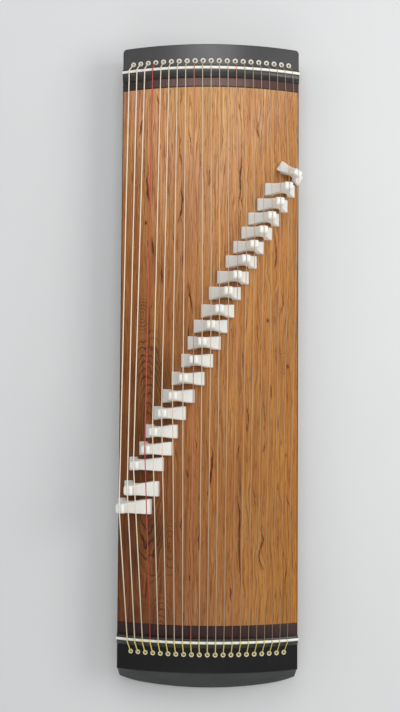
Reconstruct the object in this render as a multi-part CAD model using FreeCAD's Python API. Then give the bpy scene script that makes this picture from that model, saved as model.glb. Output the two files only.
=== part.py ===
import FreeCAD, Part
import math
import os

V = FreeCAD.Vector
os.makedirs("parts", exist_ok=True)

# ---------------------------------------------------------------------------
# Guzheng with 21 strings and a short body.
# +X runs along the strings towards the head (tuning end), +Y points away from
# the player (bass side), +Z is up.  All lengths are in millimetres.
# ---------------------------------------------------------------------------

# body
HALF_W = 166.0            # half width of the body at the soundboard's edges
ARCH_RISE = 35.0          # rise of the soundboard across its width
EDGE_Z = 72.0             # height of the soundboard's edges above the floor
BOARD_T = 8.0             # soundboard thickness
SIDE_T = 12.0             # side board thickness
BOTTOM_T = 8.0            # bottom board thickness
FOOT_H = 12.0             # height of the feet
HEAD_X = 602.0            # head end of the body
TAIL_TOP_X = -552.0       # top edge of the tail's sloping end
TAIL_SLOPE = 0.54         # how far the tail's end runs out per mm of height
END_T = 9.0               # thickness of the tail's end panel

# lines across the body
SB_HEAD_X = 521.0         # bare soundboard ends, crossband begins (head)
SB_TAIL_X = -467.0        # bare soundboard ends, crossband begins (tail)
RAIL_HEAD_X0, RAIL_HEAD_X1 = 538.0, 561.5
RAIL_TAIL_X0, RAIL_TAIL_X1 = -488.5, -507.0
STRIP_HEAD_X0, STRIP_HEAD_X1 = 552.6, 556.8
STRIP_TAIL_X0, STRIP_TAIL_X1 = -497.8, -493.2
RAIL_H = 9.0              # rail height above the soundboard
STRIP_H = 10.4            # height of the white strip's crown above the soundboard
CROSS_T = 3.0             # crossband thickness

# string holes
EYE_HEAD_X = 570.0
EYE_TAIL_X = -518.6
EYE_HEAD_PITCH = 2.08     # degrees round the arch
EYE_TAIL_PITCH = 1.99
NUT_HEAD_PITCH = 2.125
NUT_TAIL_PITCH = 2.02
EYE_BORE_R = 1.8
EYE_TUBE_R = 2.9
EYE_FLANGE_R = 4.9
EYE_FLANGE_H = 1.1

# tuning pins
PIN_R = 3.5
PIN_CLEAR = 0.05
PIN_BLOCK_X0, PIN_BLOCK_X1 = 512.0, 540.0
PIN_X0, PIN_X1 = 518.0, 588.0
PIN_DEPTHS = (24.0, 36.0, 48.0)   # three staggered rows below the plate

# strings, treble (1) to bass (21)
N = 21
STRING_R = [0.42 + 0.03 * i for i in range(N)]
WRAP_EXTRA = 0.30         # extra radius of the yellow wound tail end
STRING_GAP = 0.6          # free space between a string and its bridge's groove
RED = (3, 8, 13, 18)

# bridges, treble (1) to bass (21): place along X, angle round the arch,
# string height, half span of the feet, length of the feet along X,
# sideways lean of the head over the feet
BR_X = [365.6, 331.4, 302.0, 275.2, 248.5, 221.6, 194.6, 165.3, 136.2, 103.6,
        75.3, 44.8, 12.4, -20.2, -52.3, -83.6, -116.8, -148.4, -176.9, -221.7, -254.3]
BR_A = [-21.07, -18.08, -16.0, -14.02, -12.07, -9.92, -8.06, -6.13, -4.13, -2.16,
        -0.3, 1.59, 3.43, 5.68, 7.94, 10.32, 12.28, 13.95, 16.5, 17.86, 19.69]
BR_H = [51.0 + 0.5 * i for i in range(N)]
BR_HALF = [25.6, 29.3, 29.4, 29.4, 29.0, 28.8, 28.8, 29.0, 29.2, 30.2,
           30.7, 30.2, 29.0, 30.0, 29.2, 29.5, 29.6, 30.5, 32.5, 33.0, 32.0]
BR_FOOT = [20.7, 23.5, 23.4, 23.2, 23.2, 23.2, 23.6, 24.0, 24.2, 24.4,
           24.4, 24.8, 25.2, 25.2, 25.2, 25.4, 25.4, 25.2, 25.4, 28.0, 28.0]
BR_LEAN = [0.0, 1.0, 1.5, -1.3, -0.4, 0.0, -0.5, -1.7, -2.1, -0.8,
           0.0, 2.2, 3.0, 2.7, 1.9, 3.0, 2.2, 3.0, 4.0, 5.0, 5.0]
BR_TURN = [-32.25] + [0.0] * 20   # the first bridge stands askew
BR_TIP = [-12.0] + [0.0] * 20     # and its head leans over by this much, square to its feet
BR_LIFT = 0.3             # free space under the feet

# ---------------------------------------------------------------------------
R = (HALF_W ** 2 + ARCH_RISE ** 2) / (2 * ARCH_RISE)   # arch radius
ZC = EDGE_Z + ARCH_RISE - R                            # height of the arch's centre line
BOTTOM_Z = FOOT_H


def arch_pt(x, ang_deg, h):
    a = math.radians(ang_deg)
    return V(x, (R + h) * math.sin(a), (R + h) * math.cos(a) + ZC)


def bridge_head(i):
    """Where a bridge holds its string: (x, angle, height)."""
    t = math.radians(BR_TURN[i])
    dx, dy = BR_TIP[i] * math.cos(t), BR_TIP[i] * math.sin(t)
    return BR_X[i] + dx, BR_A[i] + math.degrees(dy / (R + BR_H[i])), BR_H[i]


def place(shape, x, ang_deg):
    """Stand a shape made at the crown (local z = 0 on the soundboard) at an angle round the arch."""
    s = shape.copy()
    s.translate(V(0, 0, R))
    s.rotate(V(0, 0, 0), V(1, 0, 0), -ang_deg)
    s.translate(V(x, 0, ZC))
    return s


def cyl_x(r, x0, x1, y=0.0, z=0.0):
    return Part.makeCylinder(r, x1 - x0, V(x0, y, z), V(1, 0, 0))


def arch_cyl(h, x0=-700.0, x1=700.0):
    return cyl_x(R + h, x0, x1, 0.0, ZC)


def shell(x0, x1, h0, h1, half=HALF_W):
    """Arched strip between radii R+h0 and R+h1."""
    ring = arch_cyl(h1, x0, x1).cut(arch_cyl(h0, x0 - 1, x1 + 1))
    return ring.common(Part.makeBox(x1 - x0, 2 * half, 400, V(x0, -half, 0)))


def rail(profile, half=HALF_W + 1.0):
    """Turn an (x, height) profile round the arch's centre line."""
    pts = [V(x, 0, R + h + ZC) for x, h in profile]
    face = Part.Face(Part.makePolygon(pts + [pts[0]]))
    axis_p, axis_d = V(0, 0, ZC), V(1, 0, 0)
    face.rotate(axis_p, axis_d, 26.0)
    sol = face.revolve(axis_p, axis_d, -52.0)
    return sol.common(Part.makeBox(1400, 2 * half, 400, V(-700, -half, 0)))


def save(name, shape):
    solids = shape.Solids
    out = solids[0] if len(solids) == 1 else Part.makeCompound(solids)
    for s in solids:
        if not s.isValid():
            print("INVALID", name)
        if s.Volume < 0:
            print("NEGATIVE", name)
    out.exportStep("parts/%s.step" % name)
    b = out.optimalBoundingBox(False, False)
    print("%-18s solids %2d  vol %10.0f  x %7.1f %7.1f  y %7.1f %7.1f  z %6.1f %6.1f" % (
        name, len(solids), sum(s.Volume for s in solids),
        b.XMin, b.XMax, b.YMin, b.YMax, b.ZMin, b.ZMax))
    ALL.append(b)


ALL = []

# ---------------------------------------------------------------------------
# outer envelope of the body, with the sloping tail end
# ---------------------------------------------------------------------------
a_edge = math.degrees(math.asin(HALF_W / R))
p0, p1, p2 = arch_pt(TAIL_TOP_X, -a_edge, 0), arch_pt(TAIL_TOP_X, 0, 0), arch_pt(TAIL_TOP_X, a_edge, 0)
arc = Part.Arc(p0, p1, p2).toShape()
slope_vec = V(-TAIL_SLOPE * 130, 0, -130)
slope_face = arc.extrude(slope_vec)                     # the sloping end surface
slab = slope_face.extrude(V(90, 0, 0))
wedge = slab.common(Part.makeBox(120, 2 * HALF_W, 200, V(TAIL_TOP_X - 120, -HALF_W, BOTTOM_Z)))
prism = arch_cyl(0, TAIL_TOP_X, HEAD_X).common(
    Part.makeBox(HEAD_X - TAIL_TOP_X, 2 * HALF_W, 200, V(TAIL_TOP_X, -HALF_W, BOTTOM_Z)))
envelope = prism.fuse(wedge)

# tail plate and tail end panel
tail_plate = shell(TAIL_TOP_X, -500.0, -BOARD_T, 0.0)
end_slab = slope_face.extrude(V(END_T, 0, 0))
end_panel = end_slab.common(Part.makeBox(140, 2 * HALF_W, 200, V(TAIL_TOP_X - 120, -HALF_W, BOTTOM_Z)))
end_panel = end_panel.cut(tail_plate)

# head plate with rounded outer corners
head_plate = shell(540.0, HEAD_X, -BOARD_T, 0.0)
cr = 7.0
for sgn in (1, -1):
    corner = Part.makeBox(cr, cr, 200, V(HEAD_X - cr, sgn * HALF_W - (cr if sgn > 0 else 0), 0))
    corner = corner.cut(Part.makeCylinder(cr, 200, V(HEAD_X - cr, sgn * (HALF_W - cr), 0)))
    head_plate = head_plate.cut(corner)

# soundboard with the rebates that hold the crossbands
soundboard = shell(-500.0, 540.0, -BOARD_T, 0.0)
soundboard = soundboard.cut(shell(SB_HEAD_X, 541.0, -CROSS_T, 1.0, HALF_W + 1))
soundboard = soundboard.cut(shell(-501.0, SB_TAIL_X, -CROSS_T, 1.0, HALF_W + 1))
crossbands = Part.makeCompound([shell(SB_HEAD_X, 540.0, -CROSS_T, 0.0), shell(-500.0, SB_TAIL_X, -CROSS_T, 0.0)])

# nut rails with the white strips let into them
head_prof = [(RAIL_HEAD_X0, 0.0), (RAIL_HEAD_X0, 1.6), (RAIL_HEAD_X0 + 6.5, RAIL_H - 1.0),
             (STRIP_HEAD_X0, RAIL_H), (STRIP_HEAD_X0, RAIL_H - 4), (STRIP_HEAD_X1, RAIL_H - 4),
             (STRIP_HEAD_X1, RAIL_H - 0.4), (RAIL_HEAD_X1, 2.0), (RAIL_HEAD_X1, 0.0)]
tail_prof = [(RAIL_TAIL_X0, 0.0), (RAIL_TAIL_X0, RAIL_H - 2.2), (RAIL_TAIL_X0 - 2.0, RAIL_H - 0.3),
             (STRIP_TAIL_X1, RAIL_H), (STRIP_TAIL_X1, RAIL_H - 4), (STRIP_TAIL_X0, RAIL_H - 4),
             (STRIP_TAIL_X0, RAIL_H - 0.4), (RAIL_TAIL_X1, 1.6), (RAIL_TAIL_X1, 0.0)]
head_rail = rail(head_prof)
tail_rail = rail(tail_prof)


def strip_prof(x0, x1):
    return [(x0, RAIL_H - 4), (x0, STRIP_H - 1.0), (x0 + 1.1, STRIP_H - 0.1), ((x0 + x1) / 2, STRIP_H),
            (x1 - 1.1, STRIP_H - 0.1), (x1, STRIP_H - 1.0), (x1, RAIL_H - 4)]


nut_strips = Part.makeCompound([rail(strip_prof(STRIP_HEAD_X0, STRIP_HEAD_X1), HALF_W + 1.6),
                                rail(strip_prof(STRIP_TAIL_X0, STRIP_TAIL_X1), HALF_W + 1.6)])

# side boards, bottom board
inner = arch_cyl(-BOARD_T)
sides = []
for sgn in (1, -1):
    y0 = HALF_W - SIDE_T if sgn > 0 else -HALF_W
    side = Part.makeBox(1300, SIDE_T, 100, V(-660, y0, BOTTOM_Z + BOTTOM_T)).common(envelope).common(inner)
    side = side.cut(end_slab).cut(tail_plate)
    # the head end of the side board stops flush under the head plate
    side = side.common(Part.makeBox(1300, 400, 200, V(-700, -200, 0)))
    sides.append(side)
side_boards = Part.makeCompound([s for c in sides for s in c.Solids])

bottom = Part.makeBox(1300, 2 * HALF_W, BOTTOM_T, V(-660, -HALF_W, BOTTOM_Z)).common(envelope).cut(end_slab)


def slot_hole(cx, lx, ly):
    """Long sound hole with round ends through the bottom board."""
    r = ly / 2
    z0 = BOTTOM_Z - 1
    h = BOTTOM_T + 2
    s = Part.makeBox(lx - ly, ly, h, V(cx - lx / 2 + r, -r, z0))
    s = s.fuse(Part.makeCylinder(r, h, V(cx - lx / 2 + r, 0, z0)))
    return s.fuse(Part.makeCylinder(r, h, V(cx + lx / 2 - r, 0, z0)))


TAIL_HOLE = (-545.0, -488.0, 95.0)         # x0, x1, half width of the string access hole
bottom = bottom.cut(slot_hole(60.0, 180.0, 80.0)).cut(slot_hole(-300.0, 120.0, 60.0))
bottom = bottom.cut(Part.makeBox(TAIL_HOLE[1] - TAIL_HOLE[0], 2 * TAIL_HOLE[2], BOTTOM_T + 2,
                                 V(TAIL_HOLE[0], -TAIL_HOLE[2], BOTTOM_Z - 1)))

# inner arches (sound bars)
bars = []
for bx in (380.0, 200.0, -80.0, -200.0, -410.0):
    full = Part.makeBox(9, 2 * (HALF_W - SIDE_T), 120, V(bx - 4.5, -(HALF_W - SIDE_T), BOTTOM_Z + BOTTOM_T)).common(inner)
    gap = arch_cyl(-BOARD_T - 20, bx - 6, bx + 6).common(
        Part.makeBox(12, 230, 200, V(bx - 6, -115, BOTTOM_Z + BOTTOM_T - 1)))
    bars.append(full.cut(gap))
sound_bars = Part.makeCompound([s for b in bars for s in b.Solids])

# pin block between the side boards
pin_block = Part.makeBox(PIN_BLOCK_X1 - PIN_BLOCK_X0, 2 * (HALF_W - SIDE_T), 120,
                         V(PIN_BLOCK_X0, -(HALF_W - SIDE_T), BOTTOM_Z + BOTTOM_T)).common(inner)

# ---------------------------------------------------------------------------
# eyelets and their holes
# ---------------------------------------------------------------------------
prof = [V(EYE_BORE_R, 0, -BOARD_T), V(EYE_TUBE_R, 0, -BOARD_T), V(EYE_TUBE_R, 0, 0),
        V(EYE_FLANGE_R, 0, 0), V(EYE_FLANGE_R, 0, 0.5), V(EYE_FLANGE_R - 0.7, 0, EYE_FLANGE_H),
        V(EYE_BORE_R + 0.6, 0, EYE_FLANGE_H), V(EYE_BORE_R, 0, 0.6)]
eyelet = Part.Face(Part.makePolygon(prof + [prof[0]])).revolve(V(0, 0, 0), V(0, 0, 1), 360)
# the flange's underside follows the arch closely: lift it clear of the crown
eyelet = eyelet.cut(cyl_x(R, -20, 20, 0, -R).common(Part.makeBox(40, 40, 40, V(-20, -20, -0.2))).cut(
    Part.makeCylinder(EYE_TUBE_R, 60, V(0, 0, -30))))
hole = Part.makeCylinder(EYE_TUBE_R, 30, V(0, 0, -20))


def eye_angle(i, pitch):
    return (i - 10) * pitch


eyes, head_holes, tail_holes = [], [], []
for i in range(N):
    ah, at = eye_angle(i, EYE_HEAD_PITCH), eye_angle(i, EYE_TAIL_PITCH)
    eyes.append(place(eyelet, EYE_HEAD_X, ah))
    eyes.append(place(eyelet, EYE_TAIL_X, at))
    head_holes.append(place(hole, EYE_HEAD_X, ah))
    tail_holes.append(place(hole, EYE_TAIL_X, at))
head_plate = head_plate.cut(Part.makeCompound(head_holes))
tail_plate = tail_plate.cut(Part.makeCompound(tail_holes))
string_eyelets = Part.makeCompound([s for e in eyes for s in e.Solids])

# ---------------------------------------------------------------------------
# tuning pins: along X, each beside its string's drop line
# ---------------------------------------------------------------------------
pins, pin_pos, pin_holes = [], [], []
for i in range(N):
    d = PIN_DEPTHS[i % 3]
    a = eye_angle(i, EYE_HEAD_PITCH)
    off = PIN_R + STRING_R[i] + 0.12
    # centre, in the frame that stands on the arch at this angle
    ar = math.radians(a)
    c = arch_pt(0, a, -d)
    cy = c.y - off * math.cos(ar)
    cz = c.z + off * math.sin(ar)
    pin_pos.append((cy, cz))
    body = cyl_x(PIN_R, PIN_X0, PIN_X1 - 12, cy, cz)
    cone = Part.makeCone(PIN_R, 2.9, 1.5, V(PIN_X1 - 12, cy, cz), V(1, 0, 0))
    sq = Part.makeBox(10.5, 4.2, 4.2, V(PIN_X1 - 10.5, cy - 2.1, cz - 2.1))
    pins.append(body.fuse(cone).fuse(sq).removeSplitter())
    pin_holes.append(cyl_x(PIN_R + PIN_CLEAR, PIN_X0 - 0.5, PIN_BLOCK_X1 + 1, cy, cz))
pin_block = pin_block.cut(Part.makeCompound(pin_holes))

# tuning box lid, in the head's end between the side boards
lid_w = HALF_W - SIDE_T - 0.4
box_lid = Part.makeBox(7, 2 * lid_w, 120, V(593.0, -lid_w, BOTTOM_Z + BOTTOM_T + 0.4)).common(arch_cyl(-BOARD_T - 0.4))
box_lid = box_lid.cut(Part.makeCylinder(13, 20, V(585, 0, BOTTOM_Z + BOTTOM_T - 4), V(1, 0, 0)))

# ---------------------------------------------------------------------------
# strings: one mitred tube each, pin -> eyelet -> head nut -> bridge -> tail nut
# ---------------------------------------------------------------------------


def tube(points, r):
    edges = [Part.LineSegment(points[k], points[k + 1]).toShape() for k in range(len(points) - 1)]
    wire = Part.Wire(edges)
    d = points[1].sub(points[0])
    circ = Part.Wire([Part.Circle(points[0], d, r).toShape()])
    return wire.makePipeShell([circ], True, False, 1)


strings, wraps, balls, string_pts = [], [], [], []
for i in range(N):
    r = STRING_R[i]
    rw = r + WRAP_EXTRA
    ah, at = eye_angle(i, EYE_HEAD_PITCH), eye_angle(i, EYE_TAIL_PITCH)
    nh, nt = (i - 10) * NUT_HEAD_PITCH, (i - 10) * NUT_TAIL_PITCH
    hs = STRIP_H + r + 0.02
    d = PIN_DEPTHS[i % 3]
    pts = [arch_pt(EYE_HEAD_X, ah, -d), arch_pt(EYE_HEAD_X, ah, 1.6),
           arch_pt(STRIP_HEAD_X1 + 0.4, nh, hs), arch_pt(STRIP_HEAD_X0 - 0.4, nh, hs),
           arch_pt(*bridge_head(i)),
           arch_pt(STRIP_TAIL_X1 + 1.2, nt, STRIP_H + rw + 0.02)]
    s = tube(pts, r)
    # the turns round the pin, as a plain sleeve
    cy, cz = pin_pos[i]
    sleeve = cyl_x(PIN_R + 0.1 + 2 * r, EYE_HEAD_X - 4, EYE_HEAD_X + 2.5, cy, cz).cut(
        cyl_x(PIN_R + 0.08, EYE_HEAD_X - 6, EYE_HEAD_X + 5, cy, cz))
    s = s.fuse(sleeve)
    strings.append(s)
    string_pts.append(pts)
    last = pts[-1]
    hw = STRIP_H + rw + 0.02
    wpts = [last, arch_pt(STRIP_TAIL_X0 - 0.2, nt, hw), arch_pt(EYE_TAIL_X, at, 1.6),
            arch_pt(EYE_TAIL_X, at, -BOARD_T - 4.0)]
    wraps.append(tube(wpts, min(rw, EYE_BORE_R - 0.25)))
    b = Part.makeCylinder(3.2, 3.5, V(0, 0, -BOARD_T - 7.5))
    balls.append(place(b, EYE_TAIL_X, at))

cream = [strings[i] for i in range(N) if i + 1 not in RED]
red = [strings[i] for i in range(N) if i + 1 in RED]

# ---------------------------------------------------------------------------
# bridges
# ---------------------------------------------------------------------------


def spline_wire(pts):
    c = Part.BSplineCurve()
    c.interpolate([V(*p) for p in pts])
    return c.toShape()


def make_bridge(i):
    H = BR_H[i] - STRING_R[i] - STRING_GAP      # groove bottom
    B = BR_HALF[i]
    L = BR_FOOT[i]
    lean = BR_LEAN[i]

    def sh(s, t):
        return (0, s - lean * (1 - t / H), t)

    def side(sg):
        # foot end, then the hollow outer flank up to the neck
        return [sh(sg * s, t) for s, t in ((B, 5.0), (B - 4.5, 10.0), (B - 10.5, 17.0), (B - 16.0, 25.0),
                                           (9.6, 0.66 * H), (7.6, 0.78 * H), (7.2, H - 6.5))]

    def head(sg):
        return [sh(sg * s, t) for s, t in ((7.2, H - 6.5), (8.0, H - 3.2), (7.2, H + 0.6), (4.6, H + 2.4), (2.0, H + 1.5))]

    bi = B - 15.0
    arch_in = [sh(bi, -4.0), sh(bi - 0.8, 4.0), sh(bi - 4.0, 0.25 * H), sh(bi * 0.35, 0.37 * H), sh(0, 0.40 * H),
               sh(-bi * 0.35, 0.37 * H), sh(-bi + 4.0, 0.25 * H), sh(-bi + 0.8, 4.0), sh(-bi, -4.0)]
    edges = [
        Part.LineSegment(V(*sh(B, -4.0)), V(*sh(B, 5.0))).toShape(),
        spline_wire(side(1)), spline_wire(head(1)),
        Part.LineSegment(V(*sh(2.0, H + 1.5)), V(*sh(1.4, H))).toShape(),
        Part.LineSegment(V(*sh(1.4, H)), V(*sh(-1.4, H))).toShape(),
        Part.LineSegment(V(*sh(-1.4, H)), V(*sh(-2.0, H + 1.5))).toShape(),
        spline_wire(head(-1)), spline_wire(side(-1)),
        Part.LineSegment(V(*sh(-B, 5.0)), V(*sh(-B, -4.0))).toShape(),
        Part.LineSegment(V(*sh(-B, -4.0)), V(*sh(-bi, -4.0))).toShape(),
        spline_wire(arch_in),
        Part.LineSegment(V(*sh(bi, -4.0)), V(*sh(B, -4.0))).toShape(),
    ]
    w = Part.Wire(Part.sortEdges(edges)[0])
    front = Part.Face(w)
    front.translate(V(-25, 0, 0))
    front = front.extrude(V(50, 0, 0))
    # side outline: long feet, slimmer waist and head
    k = BR_TIP[i] / H

    def sx(x, t):
        return V(x + k * t, 0, t)

    xs = [(L / 2, 3.0), (L / 2 - 0.5, 8.0), (L / 2 - 2.6, 0.40 * H), (L * 0.345, 0.62 * H), (L * 0.325, 0.8 * H),
          (L * 0.33, H - 5.0), (L * 0.30, H - 0.5)]
    top = H + 4
    e2 = [Part.LineSegment(sx(L / 2, -5), sx(L / 2, 3.0)).toShape(),
          spline_wire([sx(x, t) for x, t in xs]),
          Part.LineSegment(sx(*xs[-1]), sx(L * 0.2, top)).toShape(),
          Part.LineSegment(sx(L * 0.2, top), sx(-L * 0.2, top)).toShape(),
          Part.LineSegment(sx(-L * 0.2, top), sx(-xs[-1][0], xs[-1][1])).toShape(),
          spline_wire([sx(-x, t) for x, t in xs]),
          Part.LineSegment(sx(-L / 2, 3.0), sx(-L / 2, -5)).toShape(),
          Part.LineSegment(sx(-L / 2, -5), sx(L / 2, -5)).toShape()]
    w2 = Part.Wire(Part.sortEdges(e2)[0])
    side_f = Part.Face(w2)
    side_f.translate(V(0, -60, 0))
    side_s = side_f.extrude(V(0, 120, 0))
    b = front.common(side_s)
    if BR_TURN[i]:
        b.rotate(V(0, 0, 0), V(0, 0, 1), BR_TURN[i])
    # channel that follows the string on both sides, with room for the bridge's travel
    ch = STRING_R[i] + STRING_GAP
    hx, ha, hh = bridge_head(i)
    p = string_pts[i]
    k_head = min(range(len(p)), key=lambda q: p[q].distanceToPoint(arch_pt(hx, ha, hh)))
    for q in (p[k_head - 1], p[k_head + 1]):
        d = q.sub(p[k_head])
        f = 30.0 / abs(d.x)
        # direction in the frame that stands on the arch at the bridge
        ar = math.radians(BR_A[i])
        dl = V(d.x * f, (d.y * math.cos(ar) - d.z * math.sin(ar)) * f, (d.y * math.sin(ar) + d.z * math.cos(ar)) * f)
        w = p[k_head].sub(arch_pt(BR_X[i], BR_A[i], 0))
        o = V(w.x, w.y * math.cos(ar) - w.z * math.sin(ar), w.y * math.sin(ar) + w.z * math.cos(ar))
        u = [V(0, -ch, 20), V(0, -ch, 0), V(0, ch, 0), V(0, ch, 20)]
        e = [Part.LineSegment(u[3], u[0]).toShape(), Part.LineSegment(u[0], u[1]).toShape(),
             Part.Arc(u[1], V(0, 0, -ch), u[2]).toShape(), Part.LineSegment(u[2], u[3]).toShape()]
        prof_f = Part.Face(Part.Wire(Part.sortEdges(e)[0]))
        prof_f.translate(o.sub(V(math.copysign(0.4, dl.x), 0, 0)))
        b = b.cut(prof_f.extrude(dl))
    # feet follow the soundboard
    b = b.cut(cyl_x(R + BR_LIFT, -40, 40, 0, -R))
    return place(b, BR_X[i], BR_A[i])


bridges = [make_bridge(i) for i in range(N)]

# feet under the bottom board
feet = []
for fx in (-520.0, 500.0):
    for sgn in (1, -1):
        f = Part.makeBox(56, 30, FOOT_H, V(fx - 28 if fx > 0 else fx - 28, sgn * 120 - 15, 0))
        f = f.makeFillet(6, [e for e in f.Edges if abs(e.Vertexes[0].Z - e.Vertexes[-1].Z) > 5])
        feet.append(f)

# ---------------------------------------------------------------------------
# centre the whole object's box on the Z axis, in Y only
# ---------------------------------------------------------------------------
boxes = [g.optimalBoundingBox(False, False) for g in [nut_strips] + bridges]
Y_SHIFT = -(min(b.YMin for b in boxes) + max(b.YMax for b in boxes)) / 2
x_lo = end_panel.optimalBoundingBox(False, False).XMin
X_SHIFT = -(x_lo + HEAD_X) / 2
print("shift x %.4f y %.4f" % (X_SHIFT, Y_SHIFT))

nodes = {
    "soundboard": soundboard, "bottom_board": bottom, "side_boards": side_boards,
    "head_plate": head_plate, "tail_plate": tail_plate, "tail_end_panel": end_panel,
    "pin_block": pin_block, "nut_rails": Part.makeCompound([head_rail, tail_rail]),
    "nut_strips": nut_strips, "crossbands": crossbands, "string_eyelets": string_eyelets,
    "sound_bars": sound_bars, "strings_cream": Part.makeCompound(cream),
    "strings_red": Part.makeCompound(red), "string_windings": Part.makeCompound(wraps),
    "string_ball_ends": Part.makeCompound(balls), "feet": Part.makeCompound(feet), "box_lid": box_lid,
}
for i in range(N):
    nodes["bridge_%02d" % (i + 1)] = bridges[i]
    nodes["tuning_pin_%02d" % (i + 1)] = pins[i]

for name in sorted(nodes):
    s = nodes[name].copy()
    s.translate(V(X_SHIFT, Y_SHIFT, 0))
    save(name, s)
print("nodes", len(nodes))
print("total x %.2f %.2f  y %.2f %.2f  z %.2f %.2f" % (
    min(b.XMin for b in ALL), max(b.XMax for b in ALL), min(b.YMin for b in ALL), max(b.YMax for b in ALL),
    min(b.ZMin for b in ALL), max(b.ZMax for b in ALL)))
for i in range(N):
    print("pin", i + 1, round(pin_pos[i][0] + Y_SHIFT, 4), round(pin_pos[i][1], 4))
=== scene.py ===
import bpy, bmesh, math
import numpy as np
from mathutils import Matrix, Vector


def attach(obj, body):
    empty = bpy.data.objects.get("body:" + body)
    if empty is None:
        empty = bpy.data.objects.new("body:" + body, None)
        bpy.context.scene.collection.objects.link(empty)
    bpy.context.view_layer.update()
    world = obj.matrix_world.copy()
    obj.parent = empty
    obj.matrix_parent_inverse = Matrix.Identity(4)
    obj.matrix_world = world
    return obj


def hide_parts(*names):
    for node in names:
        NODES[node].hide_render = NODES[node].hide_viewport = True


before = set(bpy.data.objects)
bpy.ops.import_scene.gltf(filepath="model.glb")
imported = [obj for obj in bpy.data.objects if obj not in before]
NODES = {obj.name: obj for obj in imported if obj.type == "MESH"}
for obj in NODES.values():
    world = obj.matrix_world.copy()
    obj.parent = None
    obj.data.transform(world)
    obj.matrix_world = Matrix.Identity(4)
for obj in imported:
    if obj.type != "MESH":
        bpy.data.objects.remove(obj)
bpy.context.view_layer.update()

# ---------------------------------------------------------------------------
# Dimensions of the frame, in millimetres, the same numbers as in the CAD source
# ---------------------------------------------------------------------------
SX, SY = 0.65, 3.3502
HALF_W, ARCH_RISE, EDGE_Z = 166.0, 35.0, 72.0
BOARD_T, SIDE_T, BOTTOM_T, FOOT_H = 8.0, 12.0, 8.0, 12.0
HEAD_X, TAIL_TOP_X, TAIL_SLOPE, END_T = 602.0, -552.0, 0.54, 9.0
SB_HEAD_X, SB_TAIL_X = 521.0, -467.0
RAIL_HEAD_X0, RAIL_HEAD_X1 = 538.0, 561.5
RAIL_TAIL_X0, RAIL_TAIL_X1 = -488.5, -507.0
STRIP_HEAD_X0, STRIP_HEAD_X1 = 552.6, 556.8
STRIP_TAIL_X0, STRIP_TAIL_X1 = -497.8, -493.2
RAIL_H, STRIP_H, CROSS_T = 9.0, 10.4, 3.0
EYE_HEAD_X, EYE_TAIL_X = 570.0, -518.6
EYE_HEAD_PITCH, EYE_TAIL_PITCH = 2.08, 1.99
NUT_HEAD_PITCH, NUT_TAIL_PITCH = 2.125, 2.02
EYE_BORE_R, EYE_TUBE_R, EYE_FLANGE_R, EYE_FLANGE_H = 1.8, 2.9, 4.9, 1.1
PIN_R, PIN_X0, PIN_X1 = 3.5, 518.0, 588.0
PIN_DEPTHS = (24.0, 36.0, 48.0)
N = 21
STRING_R = [0.42 + 0.03 * i for i in range(N)]
WRAP_EXTRA = 0.30
RED = (3, 8, 13, 18)
BR_X = [365.6, 331.4, 302.0, 275.2, 248.5, 221.6, 194.6, 165.3, 136.2, 103.6,
        75.3, 44.8, 12.4, -20.2, -52.3, -83.6, -116.8, -148.4, -176.9, -221.7, -254.3]
BR_A = [-21.07, -18.08, -16.0, -14.02, -12.07, -9.92, -8.06, -6.13, -4.13, -2.16,
        -0.3, 1.59, 3.43, 5.68, 7.94, 10.32, 12.28, 13.95, 16.5, 17.86, 19.69]
BR_H = [51.0 + 0.5 * i for i in range(N)]
BR_HALF = [25.6, 29.3, 29.4, 29.4, 29.0, 28.8, 28.8, 29.0, 29.2, 30.2,
           30.7, 30.2, 29.0, 30.0, 29.2, 29.5, 29.6, 30.5, 32.5, 33.0, 32.0]
BR_FOOT = [20.7, 23.5, 23.4, 23.2, 23.2, 23.2, 23.6, 24.0, 24.2, 24.4,
           24.4, 24.8, 25.2, 25.2, 25.2, 25.4, 25.4, 25.2, 25.4, 28.0, 28.0]
BR_LEAN = [0.0, 1.0, 1.5, -1.3, -0.4, 0.0, -0.5, -1.7, -2.1, -0.8,
           0.0, 2.2, 3.0, 2.7, 1.9, 3.0, 2.2, 3.0, 4.0, 5.0, 5.0]
BR_TURN = [-32.25] + [0.0] * 20
BR_TIP = [-12.0] + [0.0] * 20

R = (HALF_W ** 2 + ARCH_RISE ** 2) / (2 * ARCH_RISE)
ZC = EDGE_Z + ARCH_RISE - R
BOTTOM_Z = FOOT_H


def arch_pt(x, ang_deg, h):
    a = math.radians(ang_deg)
    return np.array([x, (R + h) * math.sin(a), (R + h) * math.cos(a) + ZC])


def stand(pts, x, ang_deg):
    """Points made at the crown (z = 0 on the soundboard) moved to an angle round the arch."""
    p = np.array(pts, float).reshape(-1, 3).copy()
    a = math.radians(ang_deg)
    y, z = p[:, 1].copy(), p[:, 2] + R
    p[:, 1] = y * math.cos(a) + z * math.sin(a)
    p[:, 2] = -y * math.sin(a) + z * math.cos(a) + ZC
    p[:, 0] += x
    return p


def metres(p):
    return (np.asarray(p, float).reshape(-1, 3) + (SX, SY, 0.0)) * 0.001


# ---------------------------------------------------------------------------
# Smooth value noise for vertex data
# ---------------------------------------------------------------------------
def lattice(ix, iy, seed):
    h = (ix.astype(np.int64) * 374761393 + iy.astype(np.int64) * 668265263 + seed * 974711) & 0xFFFFFFFF
    h = ((h ^ (h >> 13)) * 1274126177) & 0xFFFFFFFF
    return ((h ^ (h >> 16)) & 0xFFFF) / 65535.0


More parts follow.
